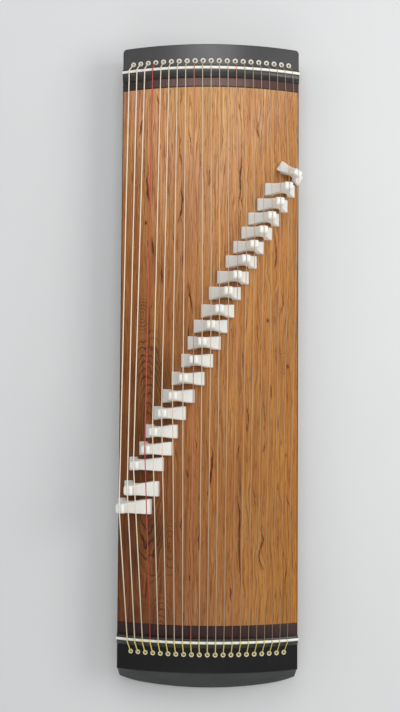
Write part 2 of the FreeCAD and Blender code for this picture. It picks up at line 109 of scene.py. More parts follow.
def vnoise(x, y, seed=0):
    ix, iy = np.floor(x), np.floor(y)
    fx, fy = x - ix, y - iy
    fx, fy = fx * fx * fx * (fx * (6 * fx - 15) + 10), fy * fy * fy * (fy * (6 * fy - 15) + 10)
    a, b = lattice(ix, iy, seed), lattice(ix + 1, iy, seed)
    c, d = lattice(ix, iy + 1, seed), lattice(ix + 1, iy + 1, seed)
    return (a * (1 - fx) + b * fx) * (1 - fy) + (c * (1 - fx) + d * fx) * fy


def fnoise(x, y, seed=0, octaves=3):
    total, amp, norm = 0.0, 1.0, 0.0
    for k in range(octaves):
        total = total + amp * vnoise(x * 2 ** k, y * 2 ** k, seed + 17 * k)
        norm += amp
        amp *= 0.5
    return total / norm


def sstep(a, b, x):
    t = np.clip((x - a) / (b - a), 0, 1)
    return t * t * (3 - 2 * t)


# ---------------------------------------------------------------------------
# Mesh helpers
# ---------------------------------------------------------------------------
def build(name, verts, faces, mats, body="body", angle=35.0, attrs=None, local=True):
    me = bpy.data.meshes.new(name)
    co = metres(verts) if local else np.asarray(verts, float)
    me.from_pydata(co.tolist(), [], faces)
    me.update()
    for m in (mats if isinstance(mats, (list, tuple)) else [mats]):
        me.materials.append(m)
    if attrs:
        for k, v in attrs.items():
            put_attr(me, k, v)
    ob = bpy.data.objects.new(name, me)
    bpy.context.scene.collection.objects.link(ob)
    tidy(ob, angle)
    if body:
        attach(ob, body)
    return ob


def put_attr(me, k, v):
    v = np.asarray(v, np.float32)
    if v.ndim == 1:
        a = me.attributes.new(k, "FLOAT", "POINT")
        a.data.foreach_set("value", v)
    else:
        a = me.attributes.new(k, "FLOAT_VECTOR", "POINT")
        a.data.foreach_set("vector", v.ravel())


def tidy(ob, angle=35.0, recalc=True):
    if recalc:
        bm = bmesh.new()
        bm.from_mesh(ob.data)
        bmesh.ops.recalc_face_normals(bm, faces=bm.faces)
        bm.to_mesh(ob.data)
        bm.free()
    ob.data.shade_smooth()
    if angle is not None:
        ob.data.set_sharp_from_angle(angle=math.radians(angle))
    ob.data.update()


def loft(sections, closed=True, caps=True):
    s = np.asarray(sections, float)
    ns, n = s.shape[:2]
    verts = s.reshape(-1, 3)
    i, j = np.meshgrid(np.arange(ns - 1), np.arange(n if closed else n - 1), indexing="ij")
    a = i * n + j
    b = i * n + (j + 1) % n
    faces = np.stack([a, b, b + n, a + n], -1).reshape(-1, 4).tolist()
    if caps:
        faces.append(list(range(n))[::-1])
        faces.append(list(range((ns - 1) * n, ns * n)))
    return verts, faces


def merge(parts):
    verts, faces, off = [], [], 0
    for v, f in parts:
        v = np.asarray(v, float).reshape(-1, 3)
        verts.append(v)
        faces += [[q + off for q in face] for face in f]
        off += len(v)
    return np.concatenate(verts), faces


def baked(ob):
    """Apply the object's modifiers to its mesh."""
    dg = bpy.context.evaluated_depsgraph_get()
    dg.update()
    me = bpy.data.meshes.new_from_object(ob.evaluated_get(dg), preserve_all_data_layers=True, depsgraph=dg)
    old = ob.data
    ob.modifiers.clear()
    ob.data = me
    bpy.data.meshes.remove(old)
    return ob


def cut(ob, cutter, keep=False):
    m = ob.modifiers.new("cut", "BOOLEAN")
    m.operation, m.solver, m.object = "DIFFERENCE", "EXACT", cutter
    baked(ob)
    if not keep:
        bpy.data.objects.remove(cutter)


def plain(name, verts, faces, local=True):
    me = bpy.data.meshes.new(name)
    me.from_pydata((metres(verts) if local else np.asarray(verts, float)).tolist(), [], faces)
    ob = bpy.data.objects.new(name, me)
    bpy.context.scene.collection.objects.link(ob)
    bm = bmesh.new()
    bm.from_mesh(me)
    bmesh.ops.recalc_face_normals(bm, faces=bm.faces)
    bm.to_mesh(me)
    bm.free()
    return ob


def lathe(profile, n=32, closed=True):
    """Profile of (r, z) turned round Z. A closed profile gives a ring."""
    prof = np.array(profile, float)
    secs = []
    for k in range(n):
        t = 2 * math.pi * k / n
        secs.append(np.stack([prof[:, 0] * math.cos(t), prof[:, 0] * math.sin(t), prof[:, 1]], -1))
    s = np.array(secs)
    m = len(prof)
    verts = s.reshape(-1, 3)
    faces = []
    for i in range(n):
        for j in range(m if closed else m - 1):
            a, b = i * m + j, i * m + (j + 1) % m
            c, d = ((i + 1) % n) * m + (j + 1) % m, ((i + 1) % n) * m + j
            faces.append([a, b, c, d])
    return verts, faces


def spline(pts, per=8):
    """Centripetal Catmull-Rom through 2D or 3D points, ends included."""
    p = np.array(pts, float)
    p = np.vstack([2 * p[0] - p[1], p, 2 * p[-1] - p[-2]])
    out = []
    for k in range(1, len(p) - 2):
        p0, p1, p2, p3 = p[k - 1], p[k], p[k + 1], p[k + 2]
        t0 = 0.0
        t1 = t0 + max(1e-6, np.linalg.norm(p1 - p0)) ** 0.5
        t2 = t1 + max(1e-6, np.linalg.norm(p2 - p1)) ** 0.5
        t3 = t2 + max(1e-6, np.linalg.norm(p3 - p2)) ** 0.5
        for t in np.linspace(t1, t2, per, endpoint=False):
            a1 = (t1 - t) / (t1 - t0) * p0 + (t - t0) / (t1 - t0) * p1
            a2 = (t2 - t) / (t2 - t1) * p1 + (t - t1) / (t2 - t1) * p2
            a3 = (t3 - t) / (t3 - t2) * p2 + (t - t2) / (t3 - t2) * p3
            b1 = (t2 - t) / (t2 - t0) * a1 + (t - t0) / (t2 - t0) * a2
            b2 = (t3 - t) / (t3 - t1) * a2 + (t - t1) / (t3 - t1) * a3
            out.append((t2 - t) / (t2 - t1) * b1 + (t - t1) / (t2 - t1) * b2)
    out.append(p[-2])
    return np.array(out)


def rounded_path(pts, dists):
    """Straight runs joined by small curves: dists gives how far from each inner point the curve starts."""
    pts = [np.array(p, float) for p in pts]
    out = [pts[0]]
    for k in range(1, len(pts) - 1):
        a, b, c = pts[k - 1], pts[k], pts[k + 1]
        la, lc = np.linalg.norm(a - b), np.linalg.norm(c - b)
        d = min(dists[k - 1], 0.45 * la, 0.45 * lc)
        p0, p2 = b + (a - b) * d / la, b + (c - b) * d / lc
        for t in np.linspace(0, 1, 7):
            out.append((1 - t) ** 2 * p0 + 2 * t * (1 - t) * b + t * t * p2)
    out.append(pts[-1])
    return np.array(out)


def tube(path, radius, n=12, caps=True):
    """A round tube along a path; radius is one number or one for each point. Returns verts, faces, along, around."""
    path = np.array(path, float)
    m = len(path)
    rad = np.full(m, float(radius)) if np.isscalar(radius) else np.array(radius, float)
    tan = np.gradient(path, axis=0)
    tan /= np.linalg.norm(tan, axis=1)[:, None]
    ref = np.array([0.0, 0.0, 1.0]) if abs(tan[0][2]) < 0.9 else np.array([0.0, 1.0, 0.0])
    u = np.cross(tan[0], ref)
    u /= np.linalg.norm(u)
    secs, along, s = [], [], 0.0
    ang = np.linspace(0, 2 * math.pi, n, endpoint=False)
    for k in range(m):
        u = u - tan[k] * (u @ tan[k])
        u /= np.linalg.norm(u)
        v = np.cross(tan[k], u)
        if k:
            s += np.linalg.norm(path[k] - path[k - 1])
        secs.append(path[k] + rad[k] * (np.cos(ang)[:, None] * u + np.sin(ang)[:, None] * v))
        along += [s] * n
    verts, faces = loft(secs, True, caps)
    return verts, faces, np.array(along), np.tile(ang, m)


# ---------------------------------------------------------------------------
# Node material helper
# ---------------------------------------------------------------------------
class Mat:
    def __init__(self, name):
        self.m = bpy.data.materials.new(name)
        self.m.use_nodes = True
        self.t = self.m.node_tree
        self.t.nodes.clear()
        self.out = self.t.nodes.new("ShaderNodeOutputMaterial")
        self.b = self.t.nodes.new("ShaderNodeBsdfPrincipled")
        self.t.links.new(self.b.outputs[0], self.out.inputs["Surface"])

    def node(self, kind, props=None, **inputs):
        n = self.t.nodes.new(kind)
        for k, v in (props or {}).items():
            setattr(n, k, v)
        for k, v in inputs.items():
            self.into(n.inputs[k.replace("_", " ")], v)
        return n

    def into(self, socket, v):
        if isinstance(v, bpy.types.NodeSocket):
            self.t.links.new(v, socket)
        elif isinstance(v, (tuple, list)) and len(v) == 3 and socket.type == "RGBA":
            socket.default_value = (*v, 1.0)
        else:
            socket.default_value = v

    def coords(self, scale=(1, 1, 1), source=None, offset=(0, 0, 0)):
        if source is None:
            source = self.node("ShaderNodeTexCoord").outputs["Object"]
        mp = self.node("ShaderNodeMapping")
        self.t.links.new(source, mp.inputs["Vector"])
        mp.inputs["Scale"].default_value = scale
        mp.inputs["Location"].default_value = offset
        return mp.outputs[0]

    def attr(self, name):
        return self.node("ShaderNodeAttribute", {"attribute_name": name})

    def noise(self, vec, scale=1.0, detail=3.0, rough=0.5, distort=0.0, lac=2.0):
        n = self.node("ShaderNodeTexNoise")
        self.t.links.new(vec, n.inputs["Vector"])
        n.inputs["Scale"].default_value = scale
        n.inputs["Detail"].default_value = detail
        n.inputs["Roughness"].default_value = rough
        n.inputs["Distortion"].default_value = distort
        n.inputs["Lacunarity"].default_value = lac
        return n.outputs["Fac"]

    def ramp(self, fac, stops, mode="LINEAR"):
        n = self.node("ShaderNodeValToRGB")
        n.color_ramp.interpolation = mode
        e = n.color_ramp.elements
        while len(e) < len(stops):
            e.new(0.5)
        for k, (p, c) in enumerate(stops):
            e[k].position = p
            e[k].color = (*c, 1.0) if isinstance(c, (tuple, list)) else (c, c, c, 1.0)
        self.t.links.new(fac, n.inputs[0])
        return n.outputs[0]

    def remap(self, v, a, b, c=0.0, d=1.0, smooth=False):
        n = self.node("ShaderNodeMapRange", {"interpolation_type": "SMOOTHSTEP" if smooth else "LINEAR"})
        self.t.links.new(v, n.inputs[0])
        for k, x in zip((1, 2, 3, 4), (a, b, c, d)):
            n.inputs[k].default_value = x
        return n.outputs[0]

    def math(self, op, a, b=0.0, c=None, clamp=False):
        n = self.node("ShaderNodeMath", {"operation": op, "use_clamp": clamp})
        self.into(n.inputs[0], a)
        self.into(n.inputs[1], b)
        if c is not None:
            self.into(n.inputs[2], c)
        return n.outputs[0]

    def mix(self, fac, a, b, mode="MIX"):
        n = self.node("ShaderNodeMix", {"data_type": "RGBA", "blend_type": mode, "clamp_factor": True})
        self.into(n.inputs[0], fac)
        self.into(n.inputs[6], a)
        self.into(n.inputs[7], b)
        return n.outputs[2]

    def bump(self, height, strength=0.3, dist=0.0003, normal=None):
        n = self.node("ShaderNodeBump")
        n.inputs["Strength"].default_value = strength
        n.inputs["Distance"].default_value = dist
        self.t.links.new(height, n.inputs["Height"])
        if normal is not None:
            self.t.links.new(normal, n.inputs["Normal"])
        self.t.links.new(n.outputs[0], self.b.inputs["Normal"])
        return n.outputs[0]

    def set(self, **kw):
        for k, v in kw.items():
            self.into(self.b.inputs[k.replace("_", " ")], v)
        return self.m


# ---------------------------------------------------------------------------
# Materials
# ---------------------------------------------------------------------------
def soundboard_wood():
    m = Mat("soundboard_wood")
    g = m.attr("grain").outputs["Vector"]          # (x, u) in mm: u runs across the growth lines
    t = m.attr("tone").outputs["Vector"]           # (ring figure, dark streak, blotch)
    # per-vertex colour factor: partly the wood's own tone, partly painted shade and painted sheen
    tint = m.attr("tint").outputs["Color"]
    sep = m.node("ShaderNodeSeparateXYZ")
    m.t.links.new(t, sep.inputs[0])
    figure, streak, blotch = sep.outputs
    gs = m.node("ShaderNodeSeparateXYZ")
    m.t.links.new(g, gs.inputs[0])
    x, u = gs.outputs[0], gs.outputs[1]
    broad = m.noise(m.coords((0.0035, 0.050, 1), g, (0, 0, 3.1)), 1.0, 3, 0.55)
    lines = m.noise(m.coords((0.0050, 0.24, 1), g, (0, 0, 7.7)), 1.0, 4, 0.62)
    fine = m.noise(m.coords((0.0130, 0.95, 1), g, (0, 0, 1.3)), 1.0, 3, 0.6)
    fibre = m.noise(m.coords((0.05, 3.4, 1), g, (0, 0, 2.3)), 1.0, 2, 0.6)
    gate = m.noise(m.coords((0.0105, 0.085, 1), g, (0, 0, 9.9)), 1.0, 2, 0.5)
    gate2 = m.noise(m.coords((0.017, 0.13, 1), g, (0, 0, 14.1)), 1.0, 2, 0.5)
    dash = m.noise(m.coords((0.021, 0.46, 1), g, (0, 0, 11.9)), 1.0, 3, 0.55)
    dash2 = m.noise(m.coords((0.040, 0.80, 1), g, (0, 0, 15.2)), 1.0, 2, 0.5)
    hue = m.noise(m.coords((0.006, 0.060, 1), g, (0, 0, 21.0)), 1.0, 3, 0.55)
    wob = m.noise(m.coords((0.0050, 0.030, 1), g, (0, 0, 4.4)), 1.0, 3, 0.55)
    wob2 = m.noise(m.coords((0.026, 0.10, 1), g, (0, 0, 6.4)), 1.0, 2, 0.5)

    def growth(freq, a, b, power):
        ph = m.math("MULTIPLY_ADD", u, freq, m.math("MULTIPLY_ADD", wob, a, m.math("MULTIPLY", wob2, b)))
        return m.math("POWER", m.math("MULTIPLY_ADD", m.math("SINE", ph), 0.5, 0.5), power)
    thin = growth(0.95, 30.0, 2.5, 9.0)
    thin2 = growth(1.75, 21.0, 4.0, 7.0)
    pale = growth(0.80, 33.0, 3.0, 4.0)
    rs = m.node("ShaderNodeSeparateXYZ")
    m.t.links.new(m.attr("ring").outputs["Vector"], rs.inputs[0])
    arc = m.math("MULTIPLY_ADD", rs.outputs[0], 1.80, m.math("MULTIPLY", wob2, 2.6))
    ring = m.math("POWER", m.math("MULTIPLY_ADD", m.math("SINE", arc), 0.5, 0.5), 6.5)
    arc2 = m.math("MULTIPLY_ADD", rs.outputs[0], 3.10, m.math("MULTIPLY", wob, 9.0))
    ring2 = m.math("POWER", m.math("MULTIPLY_ADD", m.math("SINE", arc2), 0.5, 0.5), 4.0)
    base = m.ramp(lines, [(0.25, (0.310, 0.125, 0.036)), (0.42, (0.455, 0.205, 0.064)), (0.56, (0.560, 0.275, 0.092)),
                          (0.75, (0.640, 0.345, 0.130))])
    c = m.mix(m.remap(hue, 0.48, 0.64, 0.0, 0.66), base, (0.540, 0.205, 0.052))
    c = m.mix(m.remap(hue, 0.44, 0.28, 0.0, 0.30), c, (0.620, 0.350, 0.120))
    c = m.mix(m.remap(broad, 0.36, 0.64, 0.30, 0.0), c, (0.285, 0.108, 0.032))
    c = m.mix(m.math("MULTIPLY", pale, m.remap(gate, 0.50, 0.65, 0.0, 0.36)), c, (0.730, 0.420, 0.155))
    c = m.mix(m.remap(fine, 0.45, 0.70, 0.0, 0.28), c, (0.710, 0.400, 0.140))
    c = m.mix(m.remap(fine, 0.44, 0.27, 0.0, 0.42), c, (0.230, 0.082, 0.024))
    c = m.mix(m.remap(fibre, 0.44, 0.28, 0.0, 0.20), c, (0.19, 0.070, 0.022))
    c = m.mix(m.math("MULTIPLY", thin, m.remap(gate, 0.40, 0.60, 0.08, 0.74)), c, (0.200, 0.064, 0.016))
    c = m.mix(m.math("MULTIPLY", thin2, m.remap(gate2, 0.48, 0.62, 0.0, 0.62)), c, (0.170, 0.054, 0.014))
    c = m.mix(m.math("MULTIPLY", figure, m.math("MULTIPLY", ring2, 0.38)), c, (0.150, 0.052, 0.018))
    c = m.mix(m.math("MULTIPLY", figure, m.math("MULTIPLY", ring, 0.95)), c, (0.058, 0.020, 0.009))
    c = m.mix(m.remap(dash, 0.605, 0.665, 0.0, 0.72), c, (0.200, 0.062, 0.013))
    c = m.mix(m.remap(dash2, 0.620, 0.680, 0.0, 0.74), c, (0.165, 0.050, 0.011))
    c = m.mix(m.math("MULTIPLY", blotch, m.remap(lines, 0.30, 0.60, 0.92, 0.62)), c, (0.048, 0.017, 0.007))
    c = m.mix(m.remap(streak, 0.05, 0.60, 0.0, 0.60, True), c, (0.370, 0.120, 0.024))
    broken = m.noise(m.coords((0.095, 0.80, 1), g, (0, 0, 27.0)), 1.0, 2, 0.6)
    rough_edge = m.math("ADD", streak, m.math("MULTIPLY_ADD", broken, 1.25, m.math("MULTIPLY_ADD", fibre, 0.40, -0.78)))
    c = m.mix(m.remap(rough_edge, 0.62, 0.80, 0.0, 0.94, True), c, (0.064, 0.020, 0.007))
    # multiply in that factor, which carries painted shade and painted sheen
    c = m.mix(1.0, c, tint, "MULTIPLY")
    height = m.math("ADD", m.math("MULTIPLY", lines, 0.6), m.math("MULTIPLY", fibre, 0.5))
    m.bump(height, 0.35, 0.00025)
    return m.set(Base_Color=c, Roughness=m.remap(fine, 0.3, 0.7, 0.46, 0.60), Specular_IOR_Level=0.26)


def side_wood(name, dark, mid, red, rough=(0.30, 0.46)):
    m = Mat(name)
    v = m.coords((1, 1, 1))
    wave = m.noise(m.coords((3.0, 9.0, 9.0), v, (1.7, 2.2, 0.3)), 1.0, 2, 0.5)
    lines = m.noise(m.coords((6.0, 160.0, 160.0), v, (0.2, 0.1, 0.5)), 1.0, 4, 0.6, 0.6)
    pores = m.noise(m.coords((60.0, 1400.0, 1400.0), v), 1.0, 2, 0.5)
    c = m.ramp(lines, [(0.30, dark), (0.52, mid), (0.75, red)])
    c = m.mix(m.remap(wave, 0.35, 0.65, 0.0, 0.45), c, dark)
    c = m.mix(m.remap(pores, 0.60, 0.75, 0.0, 0.6), c, tuple(x * 0.35 for x in dark))
    m.bump(pores, 0.18, 0.0002)
    return m.set(Base_Color=c, Roughness=m.remap(lines, 0.3, 0.7, *rough), Coat_Weight=0.25, Coat_Roughness=0.18)


def crossband_wood():
    m = Mat("crossband_wood")
    obj = m.node("ShaderNodeTexCoord").outputs["Object"]
    lines = m.noise(m.coords((10.0, 230.0, 60.0), obj, (0, 0.3, 0)), 1.0, 4, 0.6, 0.4)
    pores = m.noise(m.coords((120.0, 1900.0, 400.0), obj), 1.0, 2, 0.5)
    sep = m.node("ShaderNodeSeparateXYZ")
    m.t.links.new(obj, sep.inputs[0])
    side = m.remap(sep.outputs[1], 0.12, -0.13, 0.0, 1.0, True)
    head = m.remap(sep.outputs[0], -0.1, 0.1, 0.0, 1.0)
    tail_c = m.ramp(lines, [(0.28, (0.016, 0.0045, 0.0030)), (0.55, (0.036, 0.0095, 0.0062)), (0.78, (0.064, 0.018, 0.011))])
    tail_r = m.ramp(lines, [(0.28, (0.020, 0.0085, 0.0065)), (0.55, (0.040, 0.0165, 0.0125)), (0.78, (0.066, 0.027, 0.020))])
    # painted highlight: the head band is painted far lighter and more lilac than the tail band, brightest at mid-width
    # and darker towards both sides
    head_sheen_c = m.ramp(lines, [(0.28, (0.095, 0.052, 0.045)), (0.55, (0.175, 0.100, 0.087)), (0.78, (0.230, 0.135, 0.115))])
    head_e = m.ramp(lines, [(0.28, (0.014, 0.008, 0.008)), (0.55, (0.026, 0.015, 0.015)), (0.78, (0.040, 0.023, 0.021))])
    # mid-width mask of the painted highlight
    head_highlight_across = m.remap(m.math("ABSOLUTE", sep.outputs[1]), 0.158, 0.030, 0.0, 1.0, True)
    head_sheen_c = m.mix(head_highlight_across, head_e, head_sheen_c)
    head_sheen_c = m.mix(m.remap(sep.outputs[1], -0.03, -0.11, 0.0, 0.45, True), head_sheen_c, (0.105, 0.030, 0.018))
    c = m.mix(head, m.mix(side, tail_c, tail_r), head_sheen_c)
    edge = m.remap(sep.outputs[0], 0.5248, 0.5236, 0.0, 1.0, True)
    c = m.mix(m.math("MULTIPLY", edge, m.math("MULTIPLY", head, 0.75)), c, (0.016, 0.008, 0.006))
    c = m.mix(m.remap(pores, 0.60, 0.78, 0.0, 0.55), c, (0.012, 0.006, 0.005))
    m.bump(pores, 0.2, 0.0002)
    return m.set(Base_Color=c, Roughness=m.remap(lines, 0.3, 0.7, 0.38, 0.5), Specular_IOR_Level=0.38)


def black_lacquer(name, dark, mid, pale, rough, spec, coat=0.0):
    m = Mat(name)
    v = m.coords((1, 1, 1))
    cloud = m.noise(m.coords((9, 14, 14), v), 1.0, 4, 0.55)
    grain = m.noise(m.coords((22, 420, 420), v, (0, 0.7, 0)), 1.0, 3, 0.6, 0.4)
    dust = m.noise(m.coords((900, 900, 900), v), 1.0, 1, 0.5)
    scuff = m.noise(m.coords((60, 240, 240), v, (0.4, 0, 0)), 1.0, 4, 0.7, 1.5)
    c = m.ramp(grain, [(0.30, dark), (0.60, mid), (0.80, pale)])
    c = m.mix(m.remap(dust, 0.70, 0.80, 0.0, 0.5), c, (0.060, 0.058, 0.058))
    m.bump(grain, 0.10, 0.00015)
    r = m.math("ADD", m.remap(cloud, 0.3, 0.7, *rough), m.remap(scuff, 0.55, 0.75, 0.0, 0.10))
    m.set(Base_Color=c, Roughness=r, Specular_IOR_Level=spec)
    if coat:
        m.set(Coat_Weight=coat, Coat_Roughness=0.40)
    return m.m


def rail_wood():
    m = Mat("rail_lacquer")
    v = m.coords((1, 1, 1))
    grain = m.noise(m.coords((300, 12, 300), v), 1.0, 4, 0.6, 0.3)
    cloud = m.noise(m.coords((20, 20, 20), v), 1.0, 3, 0.5)
    c = m.ramp(grain, [(0.30, (0.0070, 0.0072, 0.0066)), (0.60, (0.0140, 0.0132, 0.0122)), (0.80, (0.026, 0.023, 0.020))])
    m.bump(grain, 0.12, 0.0002)
    return m.set(Base_Color=c, Roughness=m.remap(cloud, 0.3, 0.7, 0.34, 0.46), Specular_IOR_Level=0.5, Coat_Weight=0.55, Coat_Roughness=0.40)


def plastic(name, col, dirt, rough=(0.26, 0.40), spec=0.5, sss=0.0, scale=1.0):
    m = Mat(name)
    v = m.coords((scale, scale, scale))
    cloud = m.noise(m.coords((60, 60, 60), v), 1.0, 4, 0.55)
    speck = m.noise(m.coords((420, 420, 420), v), 1.0, 2, 0.5)
    micro = m.noise(m.coords((1500, 1500, 1500), v), 1.0, 2, 0.5)
    c = m.mix(m.remap(cloud, 0.42, 0.72, 0.0, 0.45), col, tuple(x * 0.90 for x in col))
    c = m.mix(m.remap(speck, 0.66, 0.78, 0.0, 0.55), c, dirt)
    m.bump(m.math("ADD", micro, m.math("MULTIPLY", speck, 0.8)), 0.10, 0.0002)
    m.set(Base_Color=c, Roughness=m.remap(cloud, 0.35, 0.65, *rough), Specular_IOR_Level=spec)
    if sss:
        m.set(Subsurface_Weight=sss, Subsurface_Radius=(1.0, 0.9, 0.75), Subsurface_Scale=0.002)
    return m.m


def bridge_plastic():
    """Moulded white plastic, darker and browner towards the feet, within 7 mm of the board."""
    m = Mat("bridge_plastic")
    v = m.coords((1, 1, 1))
    h = m.attr("height").outputs["Fac"]
    cloud = m.noise(m.coords((45, 45, 45), v), 1.0, 4, 0.6)
    swirl = m.noise(m.coords((150, 70, 110), v, (0.3, 0, 0)), 1.0, 3, 0.55, 1.2)
    speck = m.noise(m.coords((500, 500, 500), v), 1.0, 2, 0.5)
    micro = m.noise(m.coords((1300, 1300, 1300), v), 1.0, 2, 0.5)
    c = m.mix(m.remap(cloud, 0.40, 0.70, 0.0, 0.55), (0.860, 0.870, 0.825), (0.795, 0.805, 0.765))
    c = m.mix(m.remap(swirl, 0.55, 0.75, 0.0, 0.35), c, (0.880, 0.880, 0.835))
    # darker and browner towards the feet, within 7 mm of the board
    foot_darkening = m.math("MULTIPLY", m.remap(h, 7.0, 0.5, 0.0, 1.0, True), m.remap(cloud, 0.30, 0.65, 0.35, 1.0))
    c = m.mix(m.math("MULTIPLY", foot_darkening, 0.32), c, (0.62, 0.52, 0.40))
    c = m.mix(m.remap(speck, 0.70, 0.80, 0.0, 0.6), c, (0.45, 0.43, 0.39))
    m.bump(m.math("ADD", m.math("MULTIPLY", micro, 0.5), swirl), 0.10, 0.0003)
    return m.set(Base_Color=c, Roughness=m.remap(swirl, 0.35, 0.7, 0.30, 0.44), Specular_IOR_Level=0.45,
                 Subsurface_Weight=0.65, Subsurface_Radius=(1.0, 0.95, 0.85), Subsurface_Scale=0.007)


def string_mat(name, col, deep, thin, thin_deep, rough=0.35):
    """Nylon over-winding: fine turns round the string. The thin treble strings are barer and duller."""
    m = Mat(name)
    a = m.attr("along").outputs["Fac"]
    r = m.attr("around").outputs["Fac"]
    gauge = m.math("POWER", m.attr("gauge").outputs["Fac"], 1.6)
    turn = m.math("SINE", m.math("MULTIPLY_ADD", a, 2 * math.pi / 0.42, r))
    v = m.coords((1, 1, 1))
    cloud = m.noise(m.coords((30, 400, 400), v), 1.0, 3, 0.6)
    wear = m.noise(m.coords((140, 140, 140), v), 1.0, 3, 0.6)
    shade = m.remap(turn, -1.0, 0.2, 0.45, 0.0)
    c = m.mix(gauge, m.mix(shade, thin, thin_deep), m.mix(shade, col, deep))
    c = m.mix(m.remap(cloud, 0.45, 0.75, 0.0, 0.35), c, m.mix(gauge, tuple(x * 1.1 for x in thin), tuple(min(1.0, x * 1.08) for x in col)))
    c = m.mix(m.remap(wear, 0.62, 0.80, 0.0, 0.40), c, m.mix(gauge, thin_deep, deep))
    m.bump(turn, 0.22, 0.00006)
    return m.set(Base_Color=c, Roughness=m.remap(wear, 0.3, 0.7, rough, rough + 0.15), Specular_IOR_Level=0.5)


def winding_mat():
    m = Mat("winding_thread")
    a = m.attr("along").outputs["Fac"]
    r = m.attr("around").outputs["Fac"]
    strand = m.math("SINE", m.math("MULTIPLY_ADD", a, 2 * math.pi / 0.9, r))
    v = m.coords((1, 1, 1))
    fuzz = m.noise(m.coords((900, 900, 900), v), 1.0, 3, 0.6)
    # painted shade: the darker yellow-brown is laid in the grooves between the thread's turns
    c = m.mix(m.remap(strand, -1.0, 0.5, 0.7, 0.0), (0.84, 0.72, 0.10), (0.50, 0.38, 0.045))
    c = m.mix(m.remap(fuzz, 0.55, 0.75, 0.0, 0.5), c, (0.92, 0.84, 0.34))
    m.bump(m.math("ADD", strand, m.math("MULTIPLY", fuzz, 0.5)), 0.4, 0.0001)
    return m.set(Base_Color=c, Roughness=m.remap(fuzz, 0.3, 0.7, 0.55, 0.8), Sheen_Weight=0.3)


def metal(name, col, dark, rough=(0.22, 0.42), stretch=(40, 600, 600)):
    m = Mat(name)
    v = m.coords((1, 1, 1))
    brush = m.noise(m.coords(stretch, v), 1.0, 3, 0.6)
    spot = m.noise(m.coords((160, 160, 160), v), 1.0, 4, 0.6)
    c = m.mix(m.remap(spot, 0.52, 0.75, 0.0, 0.7), col, dark)
    m.bump(brush, 0.12, 0.0001)
    return m.set(Base_Color=c, Metallic=1.0, Roughness=m.math("ADD", m.remap(brush, 0.3, 0.7, *rough), m.remap(spot, 0.5, 0.8, 0.0, 0.2)))


def soft_wood(name, light, dark, stretch=(8, 220, 220)):
    """Bare sawn wood for hidden faces."""
    m = Mat(name)
    v = m.coords((1, 1, 1))
    lines = m.noise(m.coords(stretch, v, (0.1, 0.4, 0.2)), 1.0, 4, 0.62, 0.5)
    broad = m.noise(m.coords(tuple(s / 5 for s in stretch), v), 1.0, 3, 0.5)
    pores = m.noise(m.coords(tuple(s * 6 for s in stretch), v), 1.0, 2, 0.5)
    c = m.ramp(lines, [(0.30, dark), (0.62, light)])
    c = m.mix(m.remap(broad, 0.35, 0.65, 0.4, 0.0), c, tuple(0.6 * a + 0.4 * b for a, b in zip(dark, light)))
    c = m.mix(m.remap(pores, 0.62, 0.76, 0.0, 0.6), c, tuple(x * 0.55 for x in dark))
    m.bump(m.math("ADD", lines, pores), 0.3, 0.0003)
    return m.set(Base_Color=c, Roughness=m.remap(lines, 0.3, 0.7, 0.6, 0.8))


def rubber():
    m = Mat("foot_rubber")
    v = m.coords((1, 1, 1))
    a = m.noise(m.coords((300, 300, 300), v), 1.0, 3, 0.6)
    b = m.noise(m.coords((40, 40, 40), v), 1.0, 3, 0.6)
    c = m.mix(m.remap(b, 0.4, 0.7, 0.0, 0.6), (0.018, 0.018, 0.019), (0.045, 0.043, 0.040))
    m.bump(a, 0.4, 0.0003)
    return m.set(Base_Color=c, Roughness=m.remap(a, 0.3, 0.7, 0.6, 0.85))


M_TOP = soundboard_wood()
M_SIDE = side_wood("side_rosewood", (0.018, 0.009, 0.007), (0.050, 0.021, 0.014), (0.105, 0.042, 0.024))
M_BOTTOM = soft_wood("bottom_paulownia", (0.50, 0.29, 0.13), (0.27, 0.13, 0.055))
M_CROSS = crossband_wood()
M_BLACK = black_lacquer("head_lacquer", (0.0060, 0.0045, 0.0058), (0.0125, 0.0090, 0.0115), (0.0200, 0.0140, 0.0165), (0.36, 0.46), 0.60, 0.9)
M_TAILB = black_lacquer("tail_lacquer", (0.0040, 0.0036, 0.0034), (0.0068, 0.0058, 0.0056), (0.0120, 0.0088, 0.0080), (0.30, 0.42), 0.30)
# painted reflection: the black end face is painted a light grey-green and kept dull, standing in for the pale floor
# reflected in its lacquer
M_END_PAINTED_REFLECTION = black_lacquer("end_lacquer_painted_reflection", (0.0280, 0.0310, 0.0300), (0.0410, 0.0450, 0.0430), (0.0560, 0.0590, 0.0560), (0.50, 0.62), 0.14)
M_RAIL = rail_wood()
M_STRIP = plastic("nut_cream", (0.88, 0.86, 0.77), (0.66, 0.60, 0.48), (0.24, 0.36), 0.5, 0.0)
M_EYE_H = plastic("eyelet_cream", (0.80, 0.765, 0.68), (0.50, 0.44, 0.34), (0.22, 0.36), 0.5, 0.0)
M_EYE_T = plastic("eyelet_aged", (0.74, 0.66, 0.43), (0.42, 0.34, 0.20), (0.24, 0.40), 0.5, 0.0)
M_BRIDGE = bridge_plastic()
M_CREAM = string_mat("string_cream", (0.92, 0.79, 0.62), (0.74, 0.58, 0.41), (0.50, 0.335, 0.205), (0.36, 0.225, 0.130))
M_REDS = string_mat("string_red", (0.56, 0.065, 0.060), (0.36, 0.030, 0.030), (0.50, 0.290, 0.195), (0.36, 0.190, 0.125))
M_WIND = winding_mat()
M_BRASS = metal("ball_brass", (0.78, 0.55, 0.22), (0.40, 0.25, 0.10))
M_STEEL = metal("pin_steel", (0.60, 0.59, 0.57), (0.30, 0.28, 0.26))
M_BLOCK = soft_wood("pin_block_maple", (0.46, 0.30, 0.16), (0.28, 0.16, 0.08), (220, 9, 220))
M_BARS = soft_wood("sound_bar_pine", (0.60, 0.42, 0.22), (0.40, 0.24, 0.11), (220, 10, 220))
M_RUBBER = rubber()


